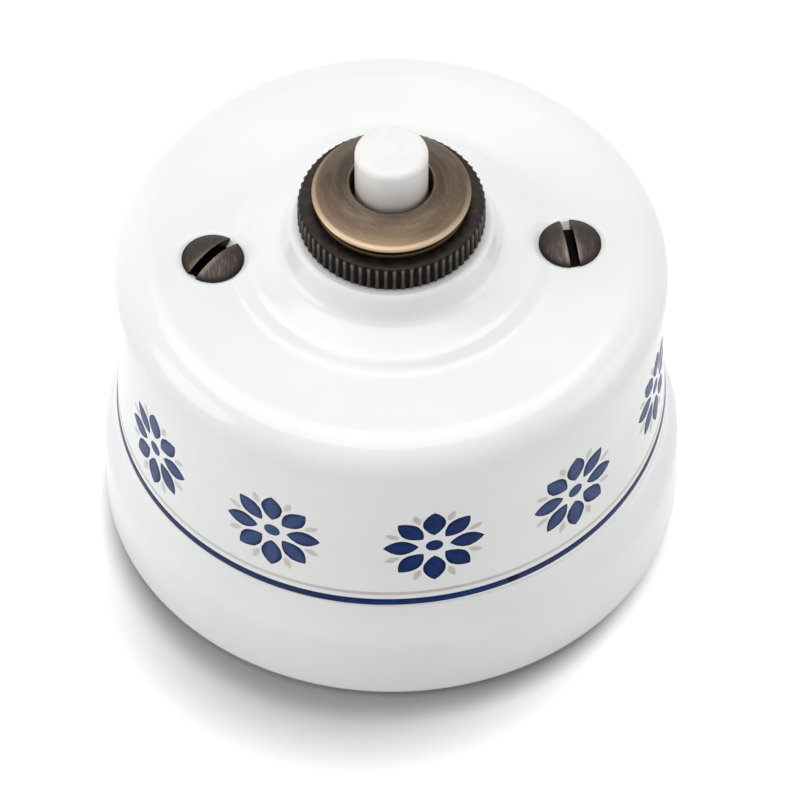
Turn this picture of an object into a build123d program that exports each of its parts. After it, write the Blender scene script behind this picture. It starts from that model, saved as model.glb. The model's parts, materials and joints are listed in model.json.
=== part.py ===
from build123d import *
import math
import os

# A round surface-mounted porcelain pushbutton switch.
# The origin is the centre of the back, on the wall. Z points out of the wall and the
# two cover screws lie on the X axis. All sizes are in millimetres.

os.makedirs("parts", exist_ok=True)

# Porcelain base
base_radius = 32.5
base_wall_height = 8.6
base_foot_round = 1.4
shoulder_height = 4.8
shoulder_step = 1.4
rim_height = 1.0
rim_edge_round = 0.3
base_floor_top = 6.2
back_foot_width = 4.1
back_recess_depth = 1.2
locating_lip_height = 1.6
locating_lip_wall = 1.8
locating_lip_gap = 0.3

# Holes through the base
wall_hole_radius = 2.1
wall_hole_head_radius = 4.2
wall_hole_head_depth = 1.6
wall_hole_side_gap = 1.2
cable_hole_radius = 4.5
cable_hole_side_gap = 0.9
cable_hole_turn = 58.0

# Porcelain cover
cover_height = 25.1
cover_wall = 3.6
cover_waist_depth = 0.5
cover_waist_height = 10.7
cover_crown_flare = 0.4
cover_shoulder_round = 4.1
cover_roof = 4.9
cover_ceiling_round = 2.0
crown_dish = 0.4
screw_seat_gap = 0.06
screw_seat_flare = 1.6
screw_seat_flare_height = 0.8
screw_seat_round = 0.4

# Boss in the middle of the cover
boss_height = 5.3
boss_collar_radius = 12.4
boss_collar_draft = 1.0
boss_collar_height = 3.0
boss_collar_round = 0.7
boss_collar_foot_round = 1.8
boss_apron_width = 3.4
boss_apron_drop = 1.4
boss_apron_round = 2.5
boss_ledge_width = 0.8
boss_step_height = 0.75
boss_step_slope = 1.4
boss_step_round = 0.8
boss_step_foot_round = 1.5
boss_roof = 4.0
boss_bore_gap = 0.25
boss_pocket_gap = 0.5

# Button bush, knurled ring nut and brass rosette
thread_radius = 7.0
thread_gap = 0.05
thread_end_round = 0.3
bush_flange_radius = 9.4
bush_flange_thickness = 1.8
bush_shoulder_depth = 2.4
bush_tip_gap = 0.4
ring_radius = 10.5
ring_height = 3.4
ring_teeth = 67
ring_tooth_depth = 0.36
ring_edge_bevel = 0.35
rosette_radius = 8.9
rosette_height = 2.3
rosette_bead_step = 0.3
rosette_bead_height = 0.5
rosette_bead_round = 0.2
rosette_neck_step = 0.7
rosette_neck_height = 0.3
rosette_neck_slope = 0.4
rosette_under_round = 0.15
rosette_rim_round = 0.5
rosette_slope_width = 2.2
rosette_slope_height = 0.65
rosette_crown = 1.05
rosette_crown_round = 3.0
rosette_hole_gap = 0.56
rosette_spigot_step = 1.0
rosette_spigot_depth = 1.2
rosette_spigot_gap = 0.03

# Push button
button_radius = 4.1
button_stand = 6.1
button_edge_round = 0.7
button_guide_gap = 0.1
button_travel = 3.0
button_flange_radius = 5.2
button_flange_thickness = 1.5
button_flange_gap = 0.2
button_rest_gap = 0.1
button_stem_radius = 2.0
button_stem_round = 0.3

# Contact block on the base
block_floor = 2.0
block_corner_round = 1.5
block_pillar_gap = 1.5
cavity_end_wall = 3.0
cavity_depth = 12.0
spring_well_depth = 4.0
spring_well_gap = 0.65
lid_thickness = 2.5
lid_guide_wall = 1.8
lid_guide_height = 2.5

# Plunger, bridge contact and return spring
plunger_radius = 2.6
plunger_slide_gap = 0.1
plunger_collar_step = 0.8
plunger_collar_thickness = 1.6
plunger_collar_gap = 0.3
plunger_stand = 1.0
plunger_end_round = 0.3
plunger_pin_radius = 1.2
plunger_pin_length = 1.6
plunger_pin_gap = 0.1
bridge_end_gap = 1.5
bridge_side_gap = 1.3
bridge_width = 4.8
bridge_thickness = 0.9
contact_rest_gap = 0.05
contact_inset = 2.0
contact_tip_radius = 1.5
contact_tip_height = 0.8
contact_tip_dome = 0.25
spring_radius = 3.2
spring_wire_radius = 0.35
spring_wire_sides = 6
spring_turns = 5

# Fixed contacts and wire terminals
contact_width = 5.0
contact_thickness = 1.0
contact_overhang = 2.2
terminal_width = 7.0
terminal_length = 6.2
terminal_edge_round = 0.4
terminal_side_gap = 0.25
terminal_end_gap = 0.55
terminal_wall = 1.3
wire_hole_radius = 1.4
wire_hole_lift = 2.6
clamp_screw_radius = 1.4
clamp_head_radius = 2.3
clamp_head_height = 1.7
clamp_head_room = 1.8
clamp_access_gap = 0.3

# Cover screws, pillars and the small screws
cover_screw_radius = 2.0
cover_screw_length = 16.0
cover_screw_hole_gap = 0.3
cover_head_radius = 3.5
cover_head_cone = 0.9
cover_head_rim = 0.12
cover_head_dome = 0.95
cover_slot_width = 1.05
cover_slot_depth = 1.8
cover_slot_turns = {"left": 44.5, "right": 97.0}
pillar_radius = 3.5
pillar_side_gap = 1.9
pillar_bevel = 0.4
pillar_top_gap = 0.3
tapped_hole_gap = 0.05
tapped_hole_spare = 1.5
small_screw_radius = 1.5
small_screw_bite = 5.0
small_head_radius = 2.7
small_head_height = 1.6
small_head_round = 0.2
small_slot_width = 0.7
small_slot_depth = 0.7
small_hole_gap = 0.2
block_screw_inset = 3.0
lid_screw_radius = 1.0
lid_screw_bite = 5.0
lid_head_radius = 1.9
lid_head_height = 1.1
lid_screw_inset = 2.6

# Painted decoration on the cover wall. The flowers are transfers put on by hand, so the
# turns of a strip are a little uneven, and a second strip faces it on the other side.
paint_thickness = 0.1
blue_line_height = 0.75
blue_line_width = 1.1
beige_line_height = 2.5
beige_line_width = 0.45
flower_height = 9.6
flower_turns = (-153.0, -119.0, -84.2, -51.1, -20.3)
flower_petals = 8
petal_start = 1.75
petal_length = 4.0
petal_width = 2.7
petal_corner_count = 4
petal_fullness = 0.8
flower_eye_radius = 1.0
flower_eye_sides = 8
leaf_start = 4.2
leaf_length = 1.8
leaf_width = 1.0

# Radii and places across, worked out from the sizes above
rim_radius = base_radius - shoulder_step
cover_hollow_radius = rim_radius - cover_wall
locating_lip_radius = cover_hollow_radius - locating_lip_gap
base_hollow_radius = locating_lip_radius - locating_lip_wall
back_recess_radius = base_radius - back_foot_width
wall_hole_reach = base_hollow_radius - wall_hole_side_gap - wall_hole_head_radius
cable_hole_reach = base_hollow_radius - cable_hole_side_gap - cable_hole_radius
cover_screw_reach = base_hollow_radius - pillar_side_gap - pillar_radius
screw_seat_radius = cover_head_radius + screw_seat_gap
cover_head_neck = cover_head_radius - cover_head_cone
screw_neck_radius = screw_seat_radius - cover_head_cone
boss_apron_radius = boss_collar_radius + boss_apron_width
boss_step_radius = boss_apron_radius + boss_ledge_width
rosette_bead_radius = rosette_radius - rosette_bead_step
rosette_neck_radius = rosette_radius - rosette_neck_step
rosette_spigot_radius = rosette_radius - rosette_spigot_step
block_length = 2 * (cover_screw_reach - pillar_radius - block_pillar_gap)
cavity_length = block_length - 2 * cavity_end_wall
cavity_width = bridge_width + 2 * bridge_side_gap
terminal_inner_y = cavity_width / 2 + terminal_wall
terminal_y = terminal_inner_y + terminal_side_gap + terminal_length / 2
block_width = 2 * (terminal_y + terminal_length / 2 + terminal_end_gap)
block_screw_reach = block_width / 2 - block_screw_inset
bridge_length = cavity_length - 2 * bridge_end_gap
contact_reach = bridge_length / 2 - contact_inset
spring_well_radius = spring_radius + spring_wire_radius + spring_well_gap
plunger_collar_radius = plunger_radius + plunger_collar_step
lid_guide_radius = plunger_radius + plunger_slide_gap + lid_guide_wall

# Heights, worked out from the sizes above
joint_z = base_wall_height + shoulder_height + rim_height
crown_z = joint_z + cover_height
dish_z = crown_z - crown_dish
boss_z = dish_z + boss_height
ceiling_z = crown_z - cover_roof
boss_pocket_z = boss_z - boss_roof
ring_top_z = boss_z + ring_height
spigot_z = ring_top_z - rosette_spigot_depth
rosette_z = ring_top_z + rosette_height
bush_tip_z = spigot_z - bush_tip_gap
bush_shoulder_z = bush_tip_z - bush_shoulder_depth
bush_flange_z = boss_pocket_z - bush_flange_thickness
button_z = rosette_z + button_stand
button_flange_z = bush_shoulder_z - button_rest_gap - button_flange_thickness
spring_well_z = base_floor_top + block_floor
cavity_z = spring_well_z + spring_well_depth
block_top_z = cavity_z + cavity_depth
lid_top_z = block_top_z + lid_thickness
contact_top_z = cavity_z + contact_thickness
clamp_seat_z = block_top_z - clamp_head_room - clamp_head_height
bridge_z = contact_top_z + 2 * contact_tip_height + button_travel + contact_rest_gap
bridge_top_z = bridge_z + bridge_thickness
plunger_top_z = lid_top_z + lid_guide_height + button_travel + plunger_stand
screw_seat_z = dish_z - cover_head_cone
pillar_top_z = ceiling_z - pillar_top_gap


def turned(corners, rounds=None):
    """Revolve a closed outline of (radius, height) corners about Z."""
    rounds = rounds or {}
    radii = [rounds.get(index, 0.0) for index in range(len(corners))]
    outline = FilletPolyline(*corners, radius=radii, close=True)
    return revolve(Plane.XZ * make_face(outline.edges()), Axis.Z)


def disc(radius, low, high, at=(0.0, 0.0)):
    """A plain cylinder between two heights."""
    return Pos(at[0], at[1], low) * Cylinder(
        radius, high - low, align=(Align.CENTER, Align.CENTER, Align.MIN)
    )


def block(length, width, low, high, at=(0.0, 0.0)):
    """A plain block between two heights."""
    return Pos(at[0], at[1], low) * Box(
        length, width, high - low, align=(Align.CENTER, Align.CENTER, Align.MIN)
    )


def round_at(reach, turn):
    """The place at a distance and an angle from the centre."""
    return (reach * math.cos(math.radians(turn)), reach * math.sin(math.radians(turn)))


def both_sides(solid):
    """The solid and its twin half a turn round the Z axis."""
    return [solid, Rot(0, 0, 180) * solid]


def dome_line(radius, rim_z, top_z):
    """The line of a shallow dome, from its rim to its top on the Z axis."""
    rise = top_z - rim_z
    sphere = (radius**2 + rise**2) / (2 * rise)
    half_turn = math.asin(radius / sphere) / 2
    middle = (sphere * math.sin(half_turn), top_z - sphere * (1 - math.cos(half_turn)))
    return ThreePointArc((radius, rim_z), middle, (0, top_z))


def group(solids):
    """Separate solids kept together as one node."""
    return Compound(children=[part.solid() for part in solids])


screw_places = {
    "left": (-cover_screw_reach, 0.0),
    "right": (cover_screw_reach, 0.0),
}
wall_hole_places = [(0.0, side * wall_hole_reach) for side in (-1, 1)]
cable_hole_places = [round_at(cable_hole_reach, cable_hole_turn + half) for half in (0, 180)]
block_screw_places = [(0.0, side * block_screw_reach) for side in (-1, 1)]
lid_screw_places = [
    (side * (block_length / 2 - lid_screw_inset), -side * (block_width / 2 - lid_screw_inset))
    for side in (-1, 1)
]
terminal_place = (-contact_reach, -terminal_y)


def base_outline():
    """Straight foot wall, S-shaped shoulder and upright rim of the base."""
    step = base_radius - rim_radius
    arc_radius = (step**2 + shoulder_height**2) / (4 * step)
    top = base_wall_height + shoulder_height
    middle = (rim_radius + step / 2, base_wall_height + shoulder_height / 2)
    half_turn = math.asin(shoulder_height / 2 / arc_radius) / 2
    lower_arc = (
        base_radius - arc_radius * (1 - math.cos(half_turn)),
        base_wall_height + arc_radius * math.sin(half_turn),
    )
    upper_arc = (
        rim_radius + arc_radius * (1 - math.cos(half_turn)),
        top - arc_radius * math.sin(half_turn),
    )
    foot = FilletPolyline(
        (0, 0), (base_radius, 0), (base_radius, base_wall_height), radius=[base_foot_round]
    )
    return foot.edges() + [
        ThreePointArc((base_radius, base_wall_height), lower_arc, middle),
        ThreePointArc(middle, upper_arc, (rim_radius, top)),
        *FilletPolyline(
            (rim_radius, top), (rim_radius, joint_z), (0, joint_z), radius=[rim_edge_round]
        ).edges(),
        Line((0, joint_z), (0, 0)),
    ]


def make_base():
    """Turned porcelain base with a locating lip and its through holes."""
    lip_z = joint_z + locating_lip_height
    body = revolve(Plane.XZ * make_face(base_outline()), Axis.Z)
    body += disc(locating_lip_radius, joint_z - rim_height, lip_z)
    body -= disc(base_hollow_radius, base_floor_top, lip_z)
    body -= disc(back_recess_radius, 0, back_recess_depth)
    for place in wall_hole_places:
        body -= disc(wall_hole_radius, 0, base_floor_top, place)
        body -= disc(
            wall_hole_head_radius, base_floor_top - wall_hole_head_depth, base_floor_top, place
        )
    for place in cable_hole_places:
        body -= disc(cable_hole_radius, 0, base_floor_top, place)
    for place in [*screw_places.values(), *block_screw_places]:
        seat = back_recess_depth + small_head_height
        body -= disc(small_screw_radius + small_hole_gap, 0, base_floor_top, place)
        body -= disc(small_head_radius + small_hole_gap, 0, seat, place)
    return body


def cover_wall_line(offset=0.0):
    """The waisted line of the cover wall, moved outwards by an offset."""
    return ThreePointArc(
        (rim_radius + offset, joint_z),
        (rim_radius - cover_waist_depth + offset, joint_z + cover_waist_height),
        (rim_radius + cover_crown_flare + offset, crown_z),
    )


def cover_top_line():
    """Dished crown, boss step, apron and collar, from the wall inwards."""
    collar_foot_z = boss_z - boss_collar_height
    corners = [
        (rim_radius + cover_crown_flare, crown_z),
        (boss_step_radius + boss_step_slope, dish_z),
        (boss_step_radius, dish_z + boss_step_height),
        (boss_apron_radius, collar_foot_z - boss_apron_drop),
        (boss_collar_radius, collar_foot_z),
        (boss_collar_radius - boss_collar_draft, boss_z),
        (0, boss_z),
    ]
    rounds = [
        boss_step_foot_round, boss_step_round, boss_apron_round, boss_collar_foot_round,
        boss_collar_round,
    ]
    return FilletPolyline(*corners, radius=rounds)


def cover_hollow():
    """The space under the cover, with a pocket for the flange of the bush."""
    room = turned(
        [(0, joint_z), (cover_hollow_radius, joint_z), (cover_hollow_radius, ceiling_z),
         (0, ceiling_z)],
        {2: cover_ceiling_round},
    )
    return room + disc(bush_flange_radius + boss_pocket_gap, ceiling_z, boss_pocket_z)


def screw_seat(place):
    """A countersunk seat for a screw head, with its lip flared out into the crown."""
    mouth = screw_seat_radius + screw_seat_flare
    room = turned([
        (0, screw_seat_z),
        (screw_neck_radius, screw_seat_z),
        (screw_seat_radius, dish_z),
        (mouth, dish_z + screw_seat_flare_height),
        (mouth, boss_z),
        (0, boss_z),
    ], {2: screw_seat_round})
    return Pos(place[0], place[1], 0) * room


def make_cover():
    """Porcelain cover shell with the boss, the bush hole and both screw seats."""
    outline = make_face([
        cover_wall_line(),
        *cover_top_line().edges(),
        Line((0, boss_z), (0, joint_z)),
        Line((0, joint_z), (rim_radius, joint_z)),
    ])
    shoulder = outline.vertices().sort_by_distance((rim_radius + cover_crown_flare, crown_z))[0]
    body = revolve(Plane.XZ * fillet(shoulder, cover_shoulder_round), Axis.Z)
    foot_edge = body.edges().filter_by(GeomType.CIRCLE).group_by(Axis.Z)[0]
    body = fillet(foot_edge, rim_edge_round)
    body -= cover_hollow()
    body -= disc(thread_radius + boss_bore_gap, boss_pocket_z, boss_z)
    for place in screw_places.values():
        body -= screw_seat(place)
        body -= disc(cover_screw_radius + cover_screw_hole_gap, ceiling_z, boss_z, place)
    return body


def make_bush():
    """Threaded brass bush that guides the button and is clamped under the boss."""
    guide = button_radius + button_guide_gap
    bore = button_flange_radius + button_flange_gap
    return turned([
        (guide, bush_tip_z),
        (thread_radius, bush_tip_z),
        (thread_radius, boss_pocket_z),
        (bush_flange_radius, boss_pocket_z),
        (bush_flange_radius, bush_flange_z),
        (bore, bush_flange_z),
        (bore, bush_shoulder_z),
        (guide, bush_shoulder_z),
    ], {1: thread_end_round})


def knurled_blank():
    """Straight V-shaped knurling along the whole rim of the ring."""
    root = ring_radius - ring_tooth_depth
    half_pitch = 180.0 / ring_teeth
    corners = [
        round_at(ring_radius if index % 2 == 0 else root, index * half_pitch)
        for index in range(2 * ring_teeth)
    ]
    rim = Pos(0, 0, boss_z) * make_face(Polyline(*corners, close=True).edges())
    return extrude(rim, ring_height, dir=(0, 0, 1))


def make_ring_nut():
    """Knurled nut that clamps the cover, with a counterbore for the rosette."""
    envelope = turned([
        (0, boss_z),
        (ring_radius - ring_edge_bevel, boss_z),
        (ring_radius, boss_z + ring_edge_bevel),
        (ring_radius, ring_top_z - ring_edge_bevel),
        (ring_radius - ring_edge_bevel, ring_top_z),
        (0, ring_top_z),
    ])
    body = knurled_blank() & envelope
    body -= disc(thread_radius + thread_gap, boss_z, ring_top_z)
    body -= disc(rosette_spigot_radius + rosette_spigot_gap, spigot_z, ring_top_z)
    return body


def make_rosette():
    """Brass disc with a gently domed face, a bead under its rim and a spigot."""
    hole = button_radius + rosette_hole_gap
    bead_z = ring_top_z + rosette_bead_height
    neck_z = bead_z + rosette_neck_height
    return turned([
        (hole, spigot_z),
        (rosette_spigot_radius, spigot_z),
        (rosette_spigot_radius, ring_top_z),
        (rosette_bead_radius, ring_top_z),
        (rosette_bead_radius, bead_z),
        (rosette_neck_radius, bead_z),
        (rosette_neck_radius, neck_z),
        (rosette_radius, neck_z + rosette_neck_slope),
        (rosette_radius, rosette_z),
        (rosette_radius - rosette_slope_width, rosette_z + rosette_slope_height),
        (hole, rosette_z + rosette_crown),
    ], {
        4: rosette_bead_round, 7: rosette_under_round, 8: rosette_rim_round,
        9: rosette_crown_round, 10: rosette_bead_round,
    })


def make_button():
    """White button with a retaining flange and a long stem, turned as one piece."""
    flange_top = button_flange_z + button_flange_thickness
    return turned([
        (0, plunger_top_z),
        (button_stem_radius, plunger_top_z),
        (button_stem_radius, button_flange_z),
        (button_flange_radius, button_flange_z),
        (button_flange_radius, flange_top),
        (button_radius, flange_top),
        (button_radius, button_z),
        (0, button_z),
    ], {1: button_stem_round, 6: button_edge_round})


def make_plunger():
    """Plunger that carries the bridge contact on a pin and slides in the lid."""
    collar_top = block_top_z - plunger_collar_gap
    collar_low = collar_top - plunger_collar_thickness
    return turned([
        (0, bridge_z - plunger_pin_length),
        (plunger_pin_radius, bridge_z - plunger_pin_length),
        (plunger_pin_radius, bridge_top_z),
        (plunger_radius, bridge_top_z),
        (plunger_radius, collar_low),
        (plunger_collar_radius, collar_low),
        (plunger_collar_radius, collar_top),
        (plunger_radius, collar_top),
        (plunger_radius, plunger_top_z),
        (0, plunger_top_z),
    ], {8: plunger_end_round})


def make_bridge():
    """Flat bridge contact with rounded ends, held on the pin of the plunger."""
    strip = extrude(
        Pos(0, 0, bridge_z) * SlotOverall(bridge_length, bridge_width), bridge_thickness
    )
    return strip - disc(plunger_pin_radius + plunger_pin_gap, bridge_z, bridge_top_z)


def contact_tip(flat_z, face_z):
    """A riveted contact tip with a domed face, on its seat at flat_z."""
    way = 1 if face_z > flat_z else -1
    dome_z = face_z - way * contact_tip_dome
    outline = [
        Line((0, flat_z), (contact_tip_radius, flat_z)),
        Line((contact_tip_radius, flat_z), (contact_tip_radius, dome_z)),
        dome_line(contact_tip_radius, dome_z, face_z),
        Line((0, face_z), (0, flat_z)),
    ]
    tip = revolve(Plane.XZ * make_face(outline), Axis.Z)
    return Pos(-contact_reach, 0, 0) * tip


def make_bridge_tips():
    """The two moving contact tips under the ends of the bridge."""
    return group(both_sides(contact_tip(bridge_z, bridge_z - contact_tip_height)))


def make_fixed_tips():
    """The two fixed contact tips on the contact strips."""
    return group(both_sides(contact_tip(contact_top_z, contact_top_z + contact_tip_height)))


def make_spring():
    """Return spring between the well in the block and the bridge contact."""
    low = spring_well_z + spring_wire_radius
    height = bridge_z - spring_wire_radius - low
    path = Helix(height / spring_turns, height, spring_radius)
    section = Plane(path @ 0, z_dir=path % 0) * RegularPolygon(spring_wire_radius, spring_wire_sides)
    return Pos(0, 0, low) * sweep(section, path)


def terminal_room(low, high):
    """The pocket that holds a wire terminal, open at the side of the block."""
    depth = block_width / 2 - terminal_inner_y
    return block(
        terminal_width + 2 * terminal_side_gap, depth, low, high,
        (-contact_reach, -(terminal_inner_y + depth / 2)),
    )


def make_contact_block():
    """Moulded block with the bridge cavity, the spring well and terminal pockets."""
    body = extrude(
        Pos(0, 0, base_floor_top)
        * RectangleRounded(block_length, block_width, block_corner_round),
        block_top_z - base_floor_top,
    )
    body -= block(cavity_length, cavity_width, cavity_z, block_top_z)
    body -= disc(spring_well_radius, spring_well_z, cavity_z)
    slot_y = cavity_width / 2 + terminal_wall / 2
    slot = block(contact_width, terminal_wall, cavity_z, contact_top_z, (-contact_reach, -slot_y))
    for cut in both_sides(terminal_room(cavity_z, block_top_z)) + both_sides(slot):
        body -= cut
    for place in block_screw_places:
        top = base_floor_top + small_screw_bite + tapped_hole_spare
        body -= disc(small_screw_radius + tapped_hole_gap, base_floor_top, top, place)
    for place in lid_screw_places:
        low = block_top_z - lid_screw_bite - tapped_hole_spare
        body -= disc(lid_screw_radius + tapped_hole_gap, low, block_top_z, place)
    return body


def make_lid():
    """Lid of the contact block, with a guide for the plunger and screw holes."""
    body = extrude(
        Pos(0, 0, block_top_z) * RectangleRounded(block_length, block_width, block_corner_round),
        lid_thickness,
    )
    body += disc(lid_guide_radius, lid_top_z, lid_top_z + lid_guide_height)
    body -= disc(plunger_radius + plunger_slide_gap, block_top_z, lid_top_z + lid_guide_height)
    for side in (-1, 1):
        place = (side * terminal_place[0], side * terminal_place[1])
        body -= disc(clamp_head_radius + clamp_access_gap, block_top_z, lid_top_z, place)
    for place in lid_screw_places:
        body -= disc(lid_screw_radius + small_hole_gap, block_top_z, lid_top_z, place)
    return body


def make_fixed_contact():
    """Brass strip from under a wire terminal to under the end of the bridge."""
    y_out = -(terminal_y + terminal_length / 2)
    strip = block(
        contact_width, contact_overhang - y_out, cavity_z, contact_top_z,
        (-contact_reach, (contact_overhang + y_out) / 2),
    )
    return strip


def make_terminal():
    """Brass terminal block with a wire hole and a tapped hole for its clamp screw."""
    body = block(
        terminal_width, terminal_length, contact_top_z, clamp_seat_z, terminal_place
    )
    body = fillet(body.edges().filter_by(Axis.Z), terminal_edge_round)
    wire_z = contact_top_z + wire_hole_lift
    wire_hole = Rot(90, 0, 0) * Cylinder(wire_hole_radius, terminal_length)
    body -= Pos(terminal_place[0], terminal_place[1], wire_z) * wire_hole
    body -= disc(clamp_screw_radius + tapped_hole_gap, wire_z, clamp_seat_z, terminal_place)
    return body


def slotted_head(radius, height, slot_width, slot_depth, seat_z):
    """A plain cheese head with a straight slot along X."""
    top = seat_z + height
    head = turned([(0, seat_z), (radius, seat_z), (radius, top), (0, top)], {2: small_head_round})
    return head - block(2 * radius, slot_width, top - slot_depth, top)


def make_clamp_screws():
    """The two screws that clamp the wires in their terminals."""
    wire_top = contact_top_z + wire_hole_lift + wire_hole_radius
    head = slotted_head(
        clamp_head_radius, clamp_head_height, small_slot_width, small_slot_depth, clamp_seat_z
    )
    screw = head + disc(clamp_screw_radius, wire_top, clamp_seat_z)
    return group(both_sides(Pos(terminal_place[0], terminal_place[1], 0) * screw))


def make_pillar(side):
    """Brass pillar that takes a cover screw from above and its own screw from below."""
    place = screw_places[side]
    body = disc(pillar_radius, base_floor_top, pillar_top_z, place)
    body = chamfer(body.edges().filter_by(GeomType.CIRCLE), pillar_bevel)
    upper_end = screw_seat_z - cover_screw_length - tapped_hole_spare
    lower_end = base_floor_top + small_screw_bite + tapped_hole_spare
    body -= disc(cover_screw_radius + tapped_hole_gap, upper_end, pillar_top_z, place)
    body -= disc(small_screw_radius + tapped_hole_gap, base_floor_top, lower_end, place)
    return body


def make_cover_screw(side):
    """Slotted raised countersunk screw, with its slot at the angle it was left at."""
    rim_z = dish_z + cover_head_rim
    top_z = rim_z + cover_head_dome
    outline = [
        Line((0, screw_seat_z), (cover_head_neck, screw_seat_z)),
        Line((cover_head_neck, screw_seat_z), (cover_head_radius, dish_z)),
        Line((cover_head_radius, dish_z), (cover_head_radius, rim_z)),
        dome_line(cover_head_radius, rim_z, top_z),
        Line((0, top_z), (0, screw_seat_z)),
    ]
    head = revolve(Plane.XZ * make_face(outline), Axis.Z)
    head -= block(2 * cover_head_radius, cover_slot_width, top_z - cover_slot_depth, top_z)
    screw = head + disc(cover_screw_radius, screw_seat_z - cover_screw_length, screw_seat_z)
    place = screw_places[side]
    return Pos(place[0], place[1], 0) * Rot(0, 0, cover_slot_turns[side]) * screw


def make_base_screws(places):
    """Slotted screws put in from the back of the base, with their heads recessed."""
    seat = back_recess_depth + small_head_height
    head = turned([
        (0, seat), (small_head_radius, seat), (small_head_radius, back_recess_depth),
        (0, back_recess_depth),
    ], {2: small_head_round})
    head -= block(
        2 * small_head_radius, small_slot_width, back_recess_depth,
        back_recess_depth + small_slot_depth,
    )
    screw = head + disc(small_screw_radius, seat, base_floor_top + small_screw_bite)
    return group([Pos(place[0], place[1], 0) * screw for place in places])


def make_lid_screws():
    """The two small screws that hold the lid on the contact block."""
    head = slotted_head(
        lid_head_radius, lid_head_height, small_slot_width, lid_head_height / 2, lid_top_z
    )
    screw = head + disc(lid_screw_radius, block_top_z - lid_screw_bite, lid_top_z)
    return group([Pos(place[0], place[1], 0) * screw for place in lid_screw_places])


def paint_skin(turn, spread, low, high):
    """A thin sector of paint that follows the cover wall between two heights."""
    inner = cover_wall_line()
    outer = cover_wall_line(paint_thickness)
    outline = [
        inner,
        outer,
        Line(inner @ 0, outer @ 0),
        Line(inner @ 1, outer @ 1),
    ]
    skin = revolve(Plane.XZ * make_face(outline), Axis.Z, spread)
    skin = Rot(0, 0, turn - spread / 2) * skin
    return skin & block(2 * base_radius, 2 * base_radius, low, high)


def painted_line(height, width):
    """A painted band all round the cover, centred at a height above its foot."""
    middle = joint_z + height
    return paint_skin(0, 360, middle - width / 2, middle + width / 2)


def lens(start, length, width):
    """A pointed petal or leaf along X, as an eight-sided lens."""
    shares = [index / petal_corner_count for index in range(1, petal_corner_count)]
    upper = [
        (start + length * share, width / 2 * math.sin(math.pi * share) ** petal_fullness)
        for share in shares
    ]
    lower = [(x, -y) for x, y in reversed(upper)]
    return make_face(Polyline((start, 0), *upper, (start + length, 0), *lower, close=True).edges())


def painted_on_wall(shapes):
    """Put flat shapes on the cover wall at each flower's place."""
    middle = joint_z + flower_height
    reach = petal_start + petal_length + leaf_length
    spread = 2 * math.degrees(math.asin(reach / (rim_radius - cover_waist_depth)))
    pieces = []
    for turn in [start + half for half in (0, 180) for start in flower_turns]:
        skin = paint_skin(0, spread, middle - reach, middle + reach)
        for shape in shapes:
            outward = Plane(origin=(0, 0, middle), x_dir=(0, 1, 0), z_dir=(1, 0, 0))
            prism = extrude(outward * shape, 2 * base_radius)
            pieces.extend((Rot(0, 0, turn) * (skin & prism)).solids())
    return group(pieces)


def make_petals():
    """Eight pointed petals for every flower."""
    step = 360 / flower_petals
    petal = lens(petal_start, petal_length, petal_width)
    return painted_on_wall([Rot(0, 0, index * step) * petal for index in range(flower_petals)])


def make_leaves():
    """A small pale leaf between each two petals."""
    step = 360 / flower_petals
    leaf = lens(leaf_start, leaf_length, leaf_width)
    return painted_on_wall(
        [Rot(0, 0, (index + 0.5) * step) * leaf for index in range(flower_petals)]
    )


def make_eyes():
    """The round dot in the middle of every flower."""
    return painted_on_wall([RegularPolygon(flower_eye_radius, flower_eye_sides)])


def main():
    """Build every piece and write each one under its own name."""
    fixed_contact = make_fixed_contact()
    terminal = make_terminal()
    pieces = {
        "porcelain_base": make_base(),
        "porcelain_cover": make_cover(),
        "button_bush": make_bush(),
        "knurled_ring_nut": make_ring_nut(),
        "brass_rosette": make_rosette(),
        "push_button": make_button(),
        "plunger": make_plunger(),
        "bridge_contact": make_bridge(),
        "bridge_tips": make_bridge_tips(),
        "return_spring": make_spring(),
        "contact_block": make_contact_block(),
        "contact_block_lid": make_lid(),
        "fixed_contact_left": fixed_contact,
        "fixed_contact_right": Rot(0, 0, 180) * fixed_contact,
        "fixed_tips": make_fixed_tips(),
        "wire_terminal_left": terminal,
        "wire_terminal_right": Rot(0, 0, 180) * terminal,
        "clamp_screws": make_clamp_screws(),
        "cover_pillar_left": make_pillar("left"),
        "cover_pillar_right": make_pillar("right"),
        "cover_screw_left": make_cover_screw("left"),
        "cover_screw_right": make_cover_screw("right"),
        "pillar_screws": make_base_screws(screw_places.values()),
        "block_screws": make_base_screws(block_screw_places),
        "lid_screws": make_lid_screws(),
        "painted_blue_line": painted_line(blue_line_height, blue_line_width),
        "painted_beige_line": painted_line(beige_line_height, beige_line_width),
        "painted_petals": make_petals(),
        "painted_leaves": make_leaves(),
        "painted_flower_eyes": make_eyes(),
    }
    for name, piece in pieces.items():
        export_step(piece, f"parts/{name}.step")


main()
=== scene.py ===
import json
import logging
import math
from dataclasses import dataclass
from enum import Enum
from typing import Any, Callable, ClassVar, Sequence, Union

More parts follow.
